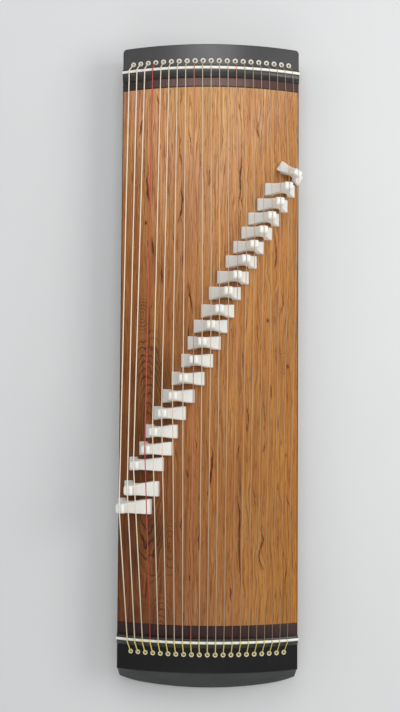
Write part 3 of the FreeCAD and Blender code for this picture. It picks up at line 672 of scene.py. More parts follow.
# ---------------------------------------------------------------------------
# Arched bands: soundboard, crossbands, end plates
# ---------------------------------------------------------------------------
def band(half, h1, h0, rt=1.0, rb=0.5, ntop=64, nbot=24, nc=4):
    """Cross-section (y, z) of an arched board: top arc, rounded edge, side, underside."""
    def z(h, y):
        return np.sqrt((R + h) ** 2 - np.square(y)) + ZC
    yt = np.linspace(-(half - rt), half - rt, ntop)
    pts = [np.stack([yt, z(h1, yt)], -1)]
    t = np.linspace(0, 1, nc + 2)[1:-1, None]

    def corner(p0, c, p2):
        p0, c, p2 = np.array(p0), np.array(c), np.array(p2)
        return (1 - t) ** 2 * p0 + 2 * t * (1 - t) * c + t * t * p2
    zt, zb = z(h1, half), z(h0, half)
    rt2 = min(rt, (zt - zb) * 0.45)
    rb2 = min(rb, (zt - zb) * 0.45)
    pts += [corner((half - rt, z(h1, half - rt)), (half, zt), (half, zt - rt2)), np.array([[half, zt - rt2], [half, zb + rb2]]),
            corner((half, zb + rb2), (half, zb), (half - rb2, z(h0, half - rb2)))]
    yb = np.linspace(half - rb2, -(half - rb2), nbot)
    pts += [np.stack([yb, z(h0, yb)], -1)]
    pts += [corner((-(half - rb2), z(h0, half - rb2)), (-half, zb), (-half, zb + rb2)), np.array([[-half, zb + rb2], [-half, zt - rt2]]),
            corner((-half, zt - rt2), (-half, zt), (-(half - rt), z(h1, half - rt)))]
    return np.concatenate(pts)


def band_loft(stations, **kw):
    secs = []
    for x, half, h1, h0 in stations:
        s = band(half, h1, h0, **kw)
        secs.append(np.column_stack([np.full(len(s), x), s]))
    return loft(secs)


def quarter(r, n=5):
    """Offsets (along, inset) for a rounded end: from the flat (0, 0) to the tip (r, r)."""
    a = np.linspace(0, math.pi / 2, n + 1)
    return list(zip(r * np.sin(a), r * (1 - np.cos(a))))


# ---- soundboard: grain field carried as vertex data ----
STREAKS = [  # ((x, y), ...) in mm, half width, strength
    (((467, 129), (450, 132), (433, 137)), 2.1, 0.55), (((510, 101), (486, 96)), 1.5, 0.55),
    (((372, 117), (345, 119), (320, 116), (302, 112)), 2.3, 0.85), (((508, 54), (484, 56)), 1.3, 0.5),
    (((454, 41), (420, 38), (390, 34)), 1.4, 0.45), (((404, 57), (363, 53)), 1.3, 0.55),
    (((342, 53), (315, 52), (289, 53), (268, 60)), 1.7, 0.75), (((372, 2), (336, 1)), 1.5, 0.6),
    (((412, -58), (375, -57), (350, -55), (327, -55), (297, -52)), 1.8, 0.9), (((495, -52), (471, -54)), 1.3, 0.45),
    (((464, -87), (440, -89), (425, -94)), 1.4, 0.5), (((509, -130), (470, -128), (441, -128)), 1.3, 0.4),
    (((507, -157), (452, -157)), 1.3, 0.35), (((369, 151), (341, 149)), 1.3, 0.5),
    (((242, 109), (222, 107), (206, 103)), 1.8, 0.7), (((214, 49), (180, 51)), 1.4, 0.55),
    (((247, -123), (208, -126), (184, -120)), 1.8, 0.55), (((186, 91), (170, 90), (156, 87)), 2.0, 0.9),
    (((242, 60), (211, 60)), 1.4, 0.6), (((155, 39), (132, 36), (100, 31)), 1.9, 0.8),
    (((86, 37), (59, 38), (31, 42)), 1.7, 0.7), (((176, 137), (162, 137)), 1.3, 0.6),
    (((-144, -4), (-167, -7), (-198, -4), (-231, 1)), 2.1, 0.95), (((-140, -56), (-161, -54)), 1.6, 0.7),
    (((-138, -104), (-156, -101)), 1.5, 0.65), (((-223, -53), (-250, -55), (-278, -58), (-314, -57), (-365, -58), (-395, -60)), 1.9, 0.8),
    (((-278, 16), (-300, 15), (-329, 15)), 1.5, 0.75), (((-273, 48), (-299, 49)), 1.5, 0.75),
    (((-185, 40), (-203, 37)), 1.5, 0.6), (((-146, 61), (-169, 60)), 1.4, 0.55),
    (((-394, -42), (-421, -42)), 1.8, 0.85), (((-373, 33), (-391, 33)), 1.4, 0.7),
    (((-315, 70), (-333, 72)), 1.5, 0.7), (((-289, -96), (-315, -101), (-345, -94), (-366, -102)), 1.5, 0.6),
    (((-232, -147), (-256, -153)), 1.5, 0.55), (((-350, -150), (-394, -145), (-426, -148)), 1.6, 0.55),
    (((440, -20), (405, -22)), 1.2, 0.35), (((-60, -70), (-100, -72), (-128, -69)), 1.5, 0.55),
    (((30, -60), (-5, -62)), 1.4, 0.5), (((-20, -118), (-64, -116)), 1.4, 0.5), (((150, -140), (108, -139)), 1.5, 0.45),
    (((-420, 5), (-448, 6)), 1.4, 0.5), (((-70, -22), (-112, -19)), 1.3, 0.45), (((90, -88), (52, -90)), 1.3, 0.45),
    (((-300, -128), (-338, -131)), 1.3, 0.45), (((-215, -84), (-262, -87)), 1.3, 0.45),
    (((-20, -148), (-70, -150)), 1.4, 0.4),
]
RNG = np.random.default_rng(2117)
for _ in range(64):
    _x, _y = RNG.uniform(-440, 500), RNG.uniform(-158, 158)
    _n = RNG.integers(2, 5)
    _l = RNG.uniform(10, 26)
    _p = [(_x - k * _l, _y + RNG.uniform(-1.6, 1.6)) for k in range(_n)]
    STREAKS.append((tuple(_p), float(RNG.uniform(0.75, 1.15)), float(RNG.uniform(0.15, 0.55))))
# painted shade: this fitted colour change is partly wood tone and partly painted shade, darker towards the tail end and
# the long edges, most on the bass side (+y)
TONE = [[-0.11, 0.33, -0.15, -0.27, 0.25, 0.17],      # red, green and blue: level, along, across, across squared, both, along squared
        [-0.22, 0.47, -0.22, -0.43, 0.34, 0.32],
        [-0.37, 0.75, -0.06, -0.97, 0.31, 0.82]]
OVALS = [(-112.0, 113.0, 172.0, 300.0, 40.0, 1.0), (96.0, 127.0, 30.0, 30.0, 17.0, 0.9), (-318.0, 70.0, 42.0, 70.0, 17.0, 0.8),
         (-490.0, 86.0, 84.0, 60.0, 26.0, 0.75), (10.0, -141.0, 26.0, 26.0, 12.0, 0.5)]
KNOTS = [(269, 121, 3.2, 0.9), (88, -109, 3.4, 0.75), (4, -149, 4.2, 0.7), (-160, -146, 2.6, 0.5)]


def grain_field(x, y):
    """Across-grain coordinate u, figure, dark streaks, blotches and a colour factor (wood tone with painted shade and
    painted sheen), for points in mm on the top.
    """
    u = y + 7.0 * (fnoise(x / 210.0, y / 55.0, 3) - 0.5) + 12.0 * (fnoise(x / 420.0, y / 130.0, 5) - 0.5)
    calm = 0.55 + 0.45 * sstep(40.0, -80.0, y)
    u = u + 4.6 * calm * (fnoise(x / 60.0, y / 18.0, 9, 2) - 0.5) + 1.3 * calm * (fnoise(x / 18.0, y / 8.0, 10, 2) - 0.5)
    # long oval figure on the bass side: its lines close in arches at the head end and in cups at the tail end
    yc = 114.0 + 8.0 * np.sin((x + 40.0) / 150.0) + 5.0 * (fnoise(x / 60.0, x * 0, 23) - 0.5)
    grow = sstep(56.0, -34.0, x) * (1 - sstep(-296.0, -380.0, x) * 0.98)
    wid = 25.0 + 5.0 * sstep(0, -150, x)
    u = u + 9.0 * grow * np.exp(-((y - yc) / wid) ** 2)
    # ovals of flat-sawn figure: (x, y, length to the head, length to the tail, half width, strength)
    ring = np.zeros_like(x)
    figure = np.zeros_like(x)
    warp = 0.20 * (fnoise(x / 46.0, y / 24.0, 21) - 0.5) + 0.09 * (fnoise(x / 15.0, y / 9.0, 24, 2) - 0.5)
    for k, (ox, oy, oh, ot, ow, os_) in enumerate(OVALS):
        oy_ = oy + (yc - 114.0) * (0.6 if oh > 100 else 0.0)
        rho = (np.abs((x - ox) / np.where(x > ox, oh, ot)) ** 2.7 + np.abs((y - oy_) / ow) ** 2.7 + 0.002) ** (1 / 2.7) * (1 + warp)
        mask = os_ * (1 - sstep(0.80, 1.22, rho))
        take = mask > figure
        figure = np.where(take, mask, figure)
        ring = np.where(take, ow * rho + 17.0 * k, ring)
    # grain swerving past the knots
    for kx, ky, kr, _ in KNOTS:
        d2 = ((x - kx) / (kr * 5.0)) ** 2 + ((y - ky) / (kr * 1.6)) ** 2
        u = u + (y - ky) * 0.9 * np.exp(-d2)
    figure = np.clip(figure * (0.85 + 1.1 * (fnoise(x / 40.0, y / 18.0, 31) - 0.5)), 0, 1)
    left = sstep(-10.0, 120.0, y)
    b1 = np.exp(-(((x + 330.0) / 72.0) ** 2 + ((y - 146.0) / 22.0) ** 2)) * (0.66 + 1.2 * (fnoise(x / 45.0, y / 12.0, 51) - 0.5))
    b0 = np.exp(-(((x + 292.0) / 40.0) ** 2 + ((y - 97.0) / 20.0) ** 2)) * (0.80 + 1.3 * (fnoise(x / 40.0, y / 12.0, 53) - 0.5))
    b1 = np.maximum(b0, b1)
    b5 = np.exp(-(((x + 455.0) / 40.0) ** 2 + ((y - 130.0) / 32.0) ** 2)) * (0.34 + 1.2 * (fnoise(x / 50.0, y / 9.0, 57) - 0.5))
    b1 = np.maximum(b5, b1)
    b2 = np.exp(-(((x + 8.0) / 58.0) ** 2 + ((y - 95.0) / 30.0) ** 2)) * (0.36 + 1.2 * (fnoise(x / 40.0, y / 13.0, 61) - 0.5))
    b3 = np.exp(-(((x + 150.0) / 95.0) ** 2 + ((y - 135.0) / 30.0) ** 2)) * (0.28 + 1.2 * (fnoise(x / 60.0, y / 12.0, 71) - 0.5))
    b4 = 0.35 * left * sstep(0.52, 0.72, fnoise(x / 90.0, y / 11.0, 77))
    blotch = np.clip(np.maximum(np.maximum(b1, b2), np.maximum(b3, b4)), 0, 0.85)
    # slow change of colour over the board: wood tone mixed with painted shade, darker towards the tail and the bass
    # side
    X, Y = x / 500.0, y / 160.0
    basis = np.stack([np.ones_like(X), X, Y, Y * Y, X * Y, X * X], -1)
    # painted sheen: the head end is paler and bluer; painted highlight: the head's treble corner (-y) is lighter
    head = sstep(400.0, 530.0, x)[..., None]
    edge = head * sstep(-60.0, -140.0, y)[..., None]
    tint = np.exp(np.clip(basis @ np.array(TONE).T + head * np.array([-0.09, -0.15, 0.06]) + edge * np.array([0.17, 0.24, 0.14]), -2.0, 0.6))
    tint = tint * (0.95 + 0.10 * fnoise(x / 160.0, y / 30.0, 81))[..., None]
    streak = np.zeros_like(x)
    for k, (line, w, s) in enumerate(STREAKS):
        p = spline(line, 6) if len(line) > 2 else np.array(line, float)
        tot = len(p) - 1
        box = (x > p[:, 0].min() - 12) & (x < p[:, 0].max() + 12) & (y > p[:, 1].min() - 8) & (y < p[:, 1].max() + 8)
        if not box.any():
            continue
        xb, yb = x[box], y[box] + 3.4 * (fnoise(x[box] / 12.0, np.full(box.sum(), k * 3.3), 91 + k, 2) - 0.5)
        bb, eb = np.full(xb.shape, 1e9), np.zeros(xb.shape)
        for q in range(tot):
            a, b = p[q], p[q + 1]
            d = b - a
            t = np.clip(((xb - a[0]) * d[0] + (yb - a[1]) * d[1]) / (d @ d), 0, 1)
            # distances along the grain count for less, so that ends taper to points
            dist = np.hypot((xb - a[0] - t * d[0]) * 0.22, yb - a[1] - t * d[1])
            m = dist < bb
            bb = np.where(m, dist, bb)
            eb = np.where(m, (q + t) / tot, eb)
        taper = np.clip(np.minimum(eb, 1 - eb) * 3.2, 0.35, 1) * (0.55 + 0.9 * fnoise(xb / 11.0, yb / 5.0, 7 + k, 2))
        val = (0.62 + 0.40 * s) * (1 - sstep(0.0, 3.0, bb / (0.68 * w * taper)))
        streak[box] = np.maximum(streak[box], val)
    for kx, ky, kr, s in KNOTS:
        d = np.hypot((x - kx) / 1.35, y - ky) / kr
        streak = np.maximum(streak, (0.7 + 0.3 * s) * (1 - sstep(0.0, 1.9, d)))
    return u, ring, figure, streak, blotch, tint


def make_soundboard():
    xs_mid = np.linspace(SB_TAIL_X + 0.25, SB_HEAD_X - 0.25, 292)
    st = [(-499.9, HALF_W, -CROSS_T, -BOARD_T), (SB_TAIL_X - 0.0, HALF_W, -CROSS_T, -BOARD_T)]
    st += [(SB_TAIL_X + 0.02, HALF_W, -0.35, -BOARD_T), (SB_TAIL_X + 0.18, HALF_W, -0.08, -BOARD_T)]
    st += [(x, HALF_W, 0.0, -BOARD_T) for x in xs_mid]
    st += [(SB_HEAD_X - 0.18, HALF_W, -0.08, -BOARD_T), (SB_HEAD_X - 0.02, HALF_W, -0.35, -BOARD_T)]
    st += [(SB_HEAD_X + 0.0, HALF_W, -CROSS_T, -BOARD_T), (539.9, HALF_W, -CROSS_T, -BOARD_T)]
    v, f = band_loft(st, rt=1.1, rb=0.4, ntop=288, nbot=20)
    x, y = v[:, 0], v[:, 1]
    arc = np.degrees(np.arctan2(y, v[:, 2] - ZC)) * math.pi / 180 * R
    depth = np.hypot(y, v[:, 2] - ZC) - R
    u, ring, figure, streak, blotch, tint = grain_field(x, arc)
    u = u + depth * 1.2
    bound = sstep(164.2, 165.0, np.abs(y)) * np.where(depth > -BOARD_T + 0.3, 1.0, 0.0)
    tint = tint * (1 - 0.80 * bound)[:, None]
    ob = build("soundboard_top", v, f, M_TOP, angle=40, attrs={
        "grain": np.stack([x, u, depth * 0.0], -1), "tone": np.stack([figure, streak, blotch], -1), "ring": np.stack([ring, ring * 0.0, ring * 0.0], -1),
        "tint": tint})
    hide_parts("soundboard")
    return ob


def ends_rounded(x0, x1, half, h1, h0, re0, re1, steps=8, n=4):
    """Stations for a band from x0 to x1 with both ends' edges rounded by re0 and re1."""
    st = []
    s = 1 if x1 > x0 else -1
    for along, inset in quarter(re0, n)[::-1]:
        st.append((x0 + s * (re0 - along), half - inset * 0.6, h1 - inset, h0 + min(inset, (h1 - h0) * 0.2)))
    for x in np.linspace(x0 + s * re0, x1 - s * re1, steps)[1:-1]:
        st.append((x, half, h1, h0))
    for along, inset in quarter(re1, n):
        st.append((x1 - s * re1 + s * along, half - inset * 0.6, h1 - inset, h0 + min(inset, (h1 - h0) * 0.2)))
    return st


def make_crossbands():
    a = band_loft(ends_rounded(SB_HEAD_X + 0.35, 540.0, HALF_W, 0.0, -CROSS_T + 0.02, 0.25, 0.1), rt=1.0, rb=0.2, ntop=96)
    b = band_loft(ends_rounded(SB_TAIL_X - 0.35, -500.0, HALF_W, 0.0, -CROSS_T + 0.02, 0.25, 0.1), rt=1.0, rb=0.2, ntop=96)
    v, f = merge([a, b])
    ob = build("crossband_veneers", v, f, M_CROSS, angle=40)
    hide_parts("crossbands")


def drill(ob, x, pitch, r):
    parts = []
    ang = np.linspace(0, 2 * math.pi, 24, endpoint=False)
    for i in range(N):
        secs = [np.column_stack([r * np.cos(ang), r * np.sin(ang), np.full(24, z)]) for z in (-14.0, 3.0)]
        v, f = loft(secs)
        parts.append((stand(v, x, (i - 10) * pitch), f))
    v, f = merge(parts)
    cut(ob, plain("drills", v, f))


def make_head_plate():
    re, cr = 1.9, 7.0
    st = [(540.0, HALF_W, 0.0, -BOARD_T), (HEAD_X - cr - 20, HALF_W, 0.0, -BOARD_T), (HEAD_X - cr, HALF_W, 0.0, -BOARD_T)]
    for a in np.linspace(0, math.pi / 2, 15)[1:]:
        x = HEAD_X - cr + cr * math.sin(a)
        half = HALF_W - cr + cr * math.cos(a)
        over = max(0.0, x - (HEAD_X - re))
        inset = re - math.sqrt(max(0.0, re * re - over * over))
        st.append((x, half, -inset, -BOARD_T + inset * 0.6))
    v, f = band_loft(st, rt=1.6, rb=0.6, ntop=120)
    ob = build("head_cover", v, f, M_BLACK, angle=32)
    drill(ob, EYE_HEAD_X, EYE_HEAD_PITCH, EYE_TUBE_R + 0.02)
    tidy(ob, 32)
    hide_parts("head_plate")


def make_tail_plate():
    st = [(-500.0, HALF_W, 0.0, -BOARD_T), (-510.0, HALF_W, 0.0, -BOARD_T), (-540.0, HALF_W, 0.0, -BOARD_T), (-550.4, HALF_W, 0.0, -BOARD_T)]
    for along, inset in quarter(1.1, 5)[1:]:
        st.append((-550.9 - along, HALF_W - 0.4 * inset, -inset, -BOARD_T))
    v, f = band_loft(st, rt=1.4, rb=0.4, ntop=120)
    ob = build("tail_cover", v, f, M_TAILB, angle=32)
    drill(ob, EYE_TAIL_X, EYE_TAIL_PITCH, EYE_TUBE_R + 0.02)
    tidy(ob, 32)
    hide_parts("tail_plate")


def make_end_panel():
    """The sloping lens-shaped tail end: one section in x and z for each place across, rounded at its rim."""
    secs = []
    ys = list(np.linspace(-(HALF_W - 1.3), HALF_W - 1.3, 90))
    edge = [(a, b) for a, b in quarter(1.3, 5)][1:]
    left = [(-(HALF_W - 1.3) - a, b) for a, b in edge][::-1]
    right = [(HALF_W - 1.3 + a, b) for a, b in edge]
    for y, ins in left + [(y, 0.0) for y in ys] + right:
        zt = math.sqrt(R * R - y * y) + ZC - 0.35
        draw = 3.4 * max(0.0, (abs(y) - 125.0) / 41.0) ** 1.8
        k = TAIL_SLOPE
        nrm = 1 / math.hypot(1, k)

        def out(z, d=0.0):
            return -552.0 - k * ((zt + 0.35) - z) + d / nrm + 0.02 + draw * min(1.0, (zt + 0.35 - z) / 14.0)
        zb = BOTTOM_Z + 0.02
        r = 1.8
        # outer face from the top edge down, rounded at top and bottom
        pts = []
        top_r = 0.8
        for t in np.linspace(0, 1, 5):
            p0 = np.array([out(zt, 0) + 1.0, zt]); c = np.array([out(zt, 0), zt]); p2 = np.array([out(zt - top_r, 0), zt - top_r])
            q = (1 - t) ** 2 * p0 + 2 * t * (1 - t) * c + t * t * p2
            pts.append((q[0] + ins, q[1] - ins * 0.2))
        for z in np.linspace(zt - top_r, zb + r, 9)[1:]:
            pts.append((out(z) + ins, z))
        for t in np.linspace(0, 1, 5)[1:]:
            p0 = np.array([out(zb + r), zb + r]); c = np.array([out(zb), zb]); p2 = np.array([out(zb) + r, zb])
            q = (1 - t) ** 2 * p0 + 2 * t * (1 - t) * c + t * t * p2
            pts.append((q[0] + ins, q[1]))
        pts.append((out(zb) - draw + END_T, zb))
        pts.append((out(zt - BOARD_T) - draw * min(1.0, (BOARD_T + 0.35) / 14.0) + END_T, zt - BOARD_T + 0.3))
        pts.append((-551.9, zt - BOARD_T + 0.3))
        pts.append((-551.9, zt - 1.0))
        secs.append([(px, y, pz) for px, pz in pts])
    v, f = loft(secs)
    ob = build("tail_end_face", v, f, M_END_PAINTED_REFLECTION, angle=32)
    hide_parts("tail_end_panel")


# ---- nut rails and strips, turned round the arch's centre line ----
def turned(profile, half, n=140, inset=0.7):
    prof = np.array(profile, float)
    cen = prof.mean(0)
    secs = []
    ends = [(0.0, 0.0)] + [(a, b) for a, b in quarter(inset, 4)][1:]
    st = [(-1, a, b) for a, b in ends[::-1]] + [(s, None, 0.0) for s in np.linspace(-1, 1, n)[1:-1]] + [(1, a, b) for a, b in ends]
    for s, a, b in st:
        d = cen - prof
        ln = np.maximum(np.linalg.norm(d, axis=1), 1e-6)[:, None]
        p = prof + d / ln * b
        y_half = half - inset + (a or 0.0)
        row = []
        for x, h in p:
            lim = math.asin(y_half / (R + h))
            ang = s * lim if a is None else math.copysign(lim, s)
            if a is None:
                ang = s * math.asin((half - inset) / (R + h))
            row.append(((x, (R + h) * math.sin(ang), (R + h) * math.cos(ang) + ZC)))
        secs.append(row)
    return loft(secs)


def smooth_profile(pts, r=0.6, n=4):
    """Round the corners of a closed polygon."""
    p = [np.array(q, float) for q in pts]
    out = []
    m = len(p)
    for k in range(m):
        a, b, c = p[k - 1], p[k], p[(k + 1) % m]
        la, lc = np.linalg.norm(a - b), np.linalg.norm(c - b)
        d = min(r, 0.45 * la, 0.45 * lc)
        p0, p2 = b + (a - b) * d / la, b + (c - b) * d / lc
        for t in np.linspace(0, 1, n):
            out.append((1 - t) ** 2 * p0 + 2 * t * (1 - t) * b + t * t * p2)
    return np.array(out)


def make_nuts():
    head = [(RAIL_HEAD_X0, 0.02), (RAIL_HEAD_X0, 1.6), (RAIL_HEAD_X0 + 3.0, 5.4), (RAIL_HEAD_X0 + 7.0, RAIL_H - 0.9), (RAIL_HEAD_X0 + 11.0, RAIL_H - 0.2),
            (STRIP_HEAD_X0 - 0.05, RAIL_H), (STRIP_HEAD_X0 - 0.05, RAIL_H - 3.9), (STRIP_HEAD_X1 + 0.05, RAIL_H - 3.9),
            (STRIP_HEAD_X1 + 0.05, RAIL_H - 0.15), (560.0, RAIL_H - 0.35), (561.0, RAIL_H - 2.3), (RAIL_HEAD_X1, 3.0), (RAIL_HEAD_X1, 0.02)]
    tail = [(RAIL_TAIL_X0, 0.02), (RAIL_TAIL_X0, RAIL_H - 2.4), (RAIL_TAIL_X0 - 1.6, RAIL_H - 0.5), (STRIP_TAIL_X1 + 0.05, RAIL_H),
            (STRIP_TAIL_X1 + 0.05, RAIL_H - 3.9), (STRIP_TAIL_X0 - 0.05, RAIL_H - 3.9), (STRIP_TAIL_X0 - 0.05, RAIL_H - 0.4),
            (RAIL_TAIL_X1, 1.8), (RAIL_TAIL_X1, 0.02)]
    v, f = merge([turned(smooth_profile(head, 0.7), HALF_W + 0.1), turned(smooth_profile(tail, 0.7), HALF_W + 0.2)])
    ob = build("nut_rail_lacquered", v, f, M_RAIL, angle=50)
    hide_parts("nut_rails")

    def strip(x0, x1, o):
        # the head strip's cap rests a little over the edges of its groove, the tail strip's is a little narrower
        return [(x0, RAIL_H - 3.9), (x0, RAIL_H + 0.10), (x0 - o, RAIL_H + 0.16), (x0 - o, STRIP_H - 1.1), (x0 + 1.1 - o, STRIP_H - 0.15),
                ((x0 + x1) / 2, STRIP_H), (x1 - 1.1 + o, STRIP_H - 0.15), (x1 + o, STRIP_H - 1.1), (x1 + o, RAIL_H + 0.16),
                (x1, RAIL_H + 0.10), (x1, RAIL_H - 3.9)]
    v, f = merge([turned(smooth_profile(strip(STRIP_HEAD_X0, STRIP_HEAD_X1, 0.4), 0.6), HALF_W + 0.9),
                  turned(smooth_profile(strip(STRIP_TAIL_X0, STRIP_TAIL_X1, -0.35), 0.6), HALF_W + 1.2)])
    ob = build("nut_strip_white", v, f, M_STRIP, angle=50)
    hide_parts("nut_strips")


def make_eyelets():
    r0, rt, hf = EYE_BORE_R + 0.35, EYE_TUBE_R, EYE_FLANGE_H
    for name, x, pitch, mat, rf in (("eyelets_head", EYE_HEAD_X, EYE_HEAD_PITCH, M_EYE_H, EYE_FLANGE_R),
                                    ("eyelets_tail", EYE_TAIL_X, EYE_TAIL_PITCH, M_EYE_T, EYE_FLANGE_R - 0.45)):
        prof = [(r0, -BOARD_T), (rt, -BOARD_T), (rt, -0.05), (rf - 0.1, -0.04)]
        top = spline([(rf, 0.15), (rf - 0.25, 0.62), (rf - 0.8, 1.0), (rf - 1.5, hf), (r0 + 0.62, hf - 0.06), (r0 + 0.2, 0.72), (r0, 0.1)], 4)
        prof += [tuple(q) for q in top]
        v0, f0 = lathe(prof, 36)
        v, f = merge([(stand(v0, x, (i - 10) * pitch), f0) for i in range(N)])
        ob = build(name, v, f, mat, angle=50)
        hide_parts("string_eyelets")


# ---- strings, windings, coils ----
def bridge_head(i):
    t = math.radians(BR_TURN[i])
    dx, dy = BR_TIP[i] * math.cos(t), BR_TIP[i] * math.sin(t)
    return BR_X[i] + dx, BR_A[i] + math.degrees(dy / (R + BR_H[i])), BR_H[i]


def pin_centre(i):
    a = (i - 10) * EYE_HEAD_PITCH
    off = PIN_R + STRING_R[i] + 0.12
    c = arch_pt(0, a, -PIN_DEPTHS[i % 3])
    ar = math.radians(a)
    return c[1] - off * math.cos(ar), c[2] + off * math.sin(ar), ar, off


STRING_PTS = []


def make_strings():
    groups = {"cream": [], "red": []}
    winds, balls = [], []
    for i in range(N):
        r = STRING_R[i]
        rw = r + WRAP_EXTRA
        ah, at = (i - 10) * EYE_HEAD_PITCH, (i - 10) * EYE_TAIL_PITCH
        nh, nt = (i - 10) * NUT_HEAD_PITCH, (i - 10) * NUT_TAIL_PITCH
        d = PIN_DEPTHS[i % 3]
        hs = STRIP_H + r
        cy, cz, ar, off = pin_centre(i)
        # turns on the pin, from the free end to where the string leaves it
        pitch = 2 * r + 0.06
        turns = 3.4
        e1 = np.array([0.0, math.cos(ar), -math.sin(ar)])
        e2 = np.array([0.0, -math.sin(ar), -math.cos(ar)])
        coil = []
        for q in np.linspace(turns, 0, int(turns * 22)):
            ph = q * 2 * math.pi
            coil.append(np.array([EYE_HEAD_X - pitch * q, cy, cz]) + off * (math.cos(ph) * e1 + math.sin(ph) * e2))
        lean = EYE_BORE_R + 0.30 - r
        run = rounded_path([arch_pt(EYE_HEAD_X, ah, -d), arch_pt(EYE_HEAD_X - lean, ah, -BOARD_T), arch_pt(EYE_HEAD_X - lean, ah, 1.6),
                            arch_pt(STRIP_HEAD_X1 + 0.3, nh, hs - 0.1),
                            arch_pt(STRIP_HEAD_X0 - 0.4, nh, hs), arch_pt(*bridge_head(i)), arch_pt(STRIP_TAIL_X1 + 1.2, nt, STRIP_H + rw)],
                           [3.0, 1.6, 1.4, 1.4, 3.0])
        path = np.vstack([coil[:-1], run[0] + 0 * run[:1], run[1:]])
        STRING_PTS.append((arch_pt(STRIP_HEAD_X0 - 0.4, nh, hs), arch_pt(*bridge_head(i)), arch_pt(STRIP_TAIL_X1 + 1.2, nt, STRIP_H + rw)))
        v, f, al, ro = tube(path, r, 12)
        groups["red" if i + 1 in RED else "cream"].append((v, f, al, ro, np.full(len(v), min(1.0, max(0.0, (i - 3) / 14.0)))))
        # wound tail end, ridged
        rr = min(rw, 1.05)
        lean = EYE_BORE_R + 0.30 - rr
        wp = rounded_path([arch_pt(STRIP_TAIL_X1 + 1.3, nt, STRIP_H + rw), arch_pt(STRIP_TAIL_X0 - 0.2, nt, STRIP_H + rw), arch_pt(EYE_TAIL_X + lean, at, 1.6),
                           arch_pt(EYE_TAIL_X + lean, at, -BOARD_T), arch_pt(EYE_TAIL_X, at, -BOARD_T - 4.0)], [1.2, 1.6, 2.0])
        seg = np.linalg.norm(np.diff(wp, axis=0), axis=1)
        s = np.concatenate([[0], np.cumsum(seg)])
        q = np.arange(0, s[-1], 0.30)
        wq = np.column_stack([np.interp(q, s, wp[:, c]) for c in range(3)])
        rad = rr - 0.07 + 0.07 * np.cos(q / 0.9 * 2 * math.pi)
        rad[:3] *= (0.80, 0.92, 0.98)
        v, f, al, ro = tube(wq, rad, 12)
        winds.append((v, f, al, ro))
        # ball end: a waisted brass bead across the string
        prof = [(1.1, -1.75), (2.9, -1.75), (3.2, -1.35), (3.15, -0.8), (2.45, 0.0), (3.15, 0.8), (3.2, 1.35), (2.9, 1.75), (1.1, 1.75)]
        bv, bf = lathe(prof, 28)
        bv = bv + (0, 0, -BOARD_T - 5.75)
        balls.append((stand(bv, EYE_TAIL_X, at), bf))
    for key, name, mat, slot in (("cream", "strings_natural", M_CREAM, "string_cream"), ("red", "strings_octave_red", M_REDS, "string_red")):
        v, f = merge([(g[0], g[1]) for g in groups[key]])
        al = np.concatenate([g[2] for g in groups[key]])
        ro = np.concatenate([g[3] for g in groups[key]])
        ob = build(name, v, f, mat, angle=None, attrs={"along": al, "around": ro, "gauge": np.concatenate([g[4] for g in groups[key]])})
        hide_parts("strings_" + key)
    v, f = merge([(a, b) for a, b, _, _ in winds])
    ob = build("string_wound_ends", v, f, M_WIND, angle=None, attrs={
        "along": np.concatenate([g[2] for g in winds]), "around": np.concatenate([g[3] for g in winds])})
    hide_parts("string_windings")
    v, f = merge(balls)
    ob = build("ball_ends_brass", v, f, M_BRASS, angle=40)
    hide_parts("string_ball_ends")


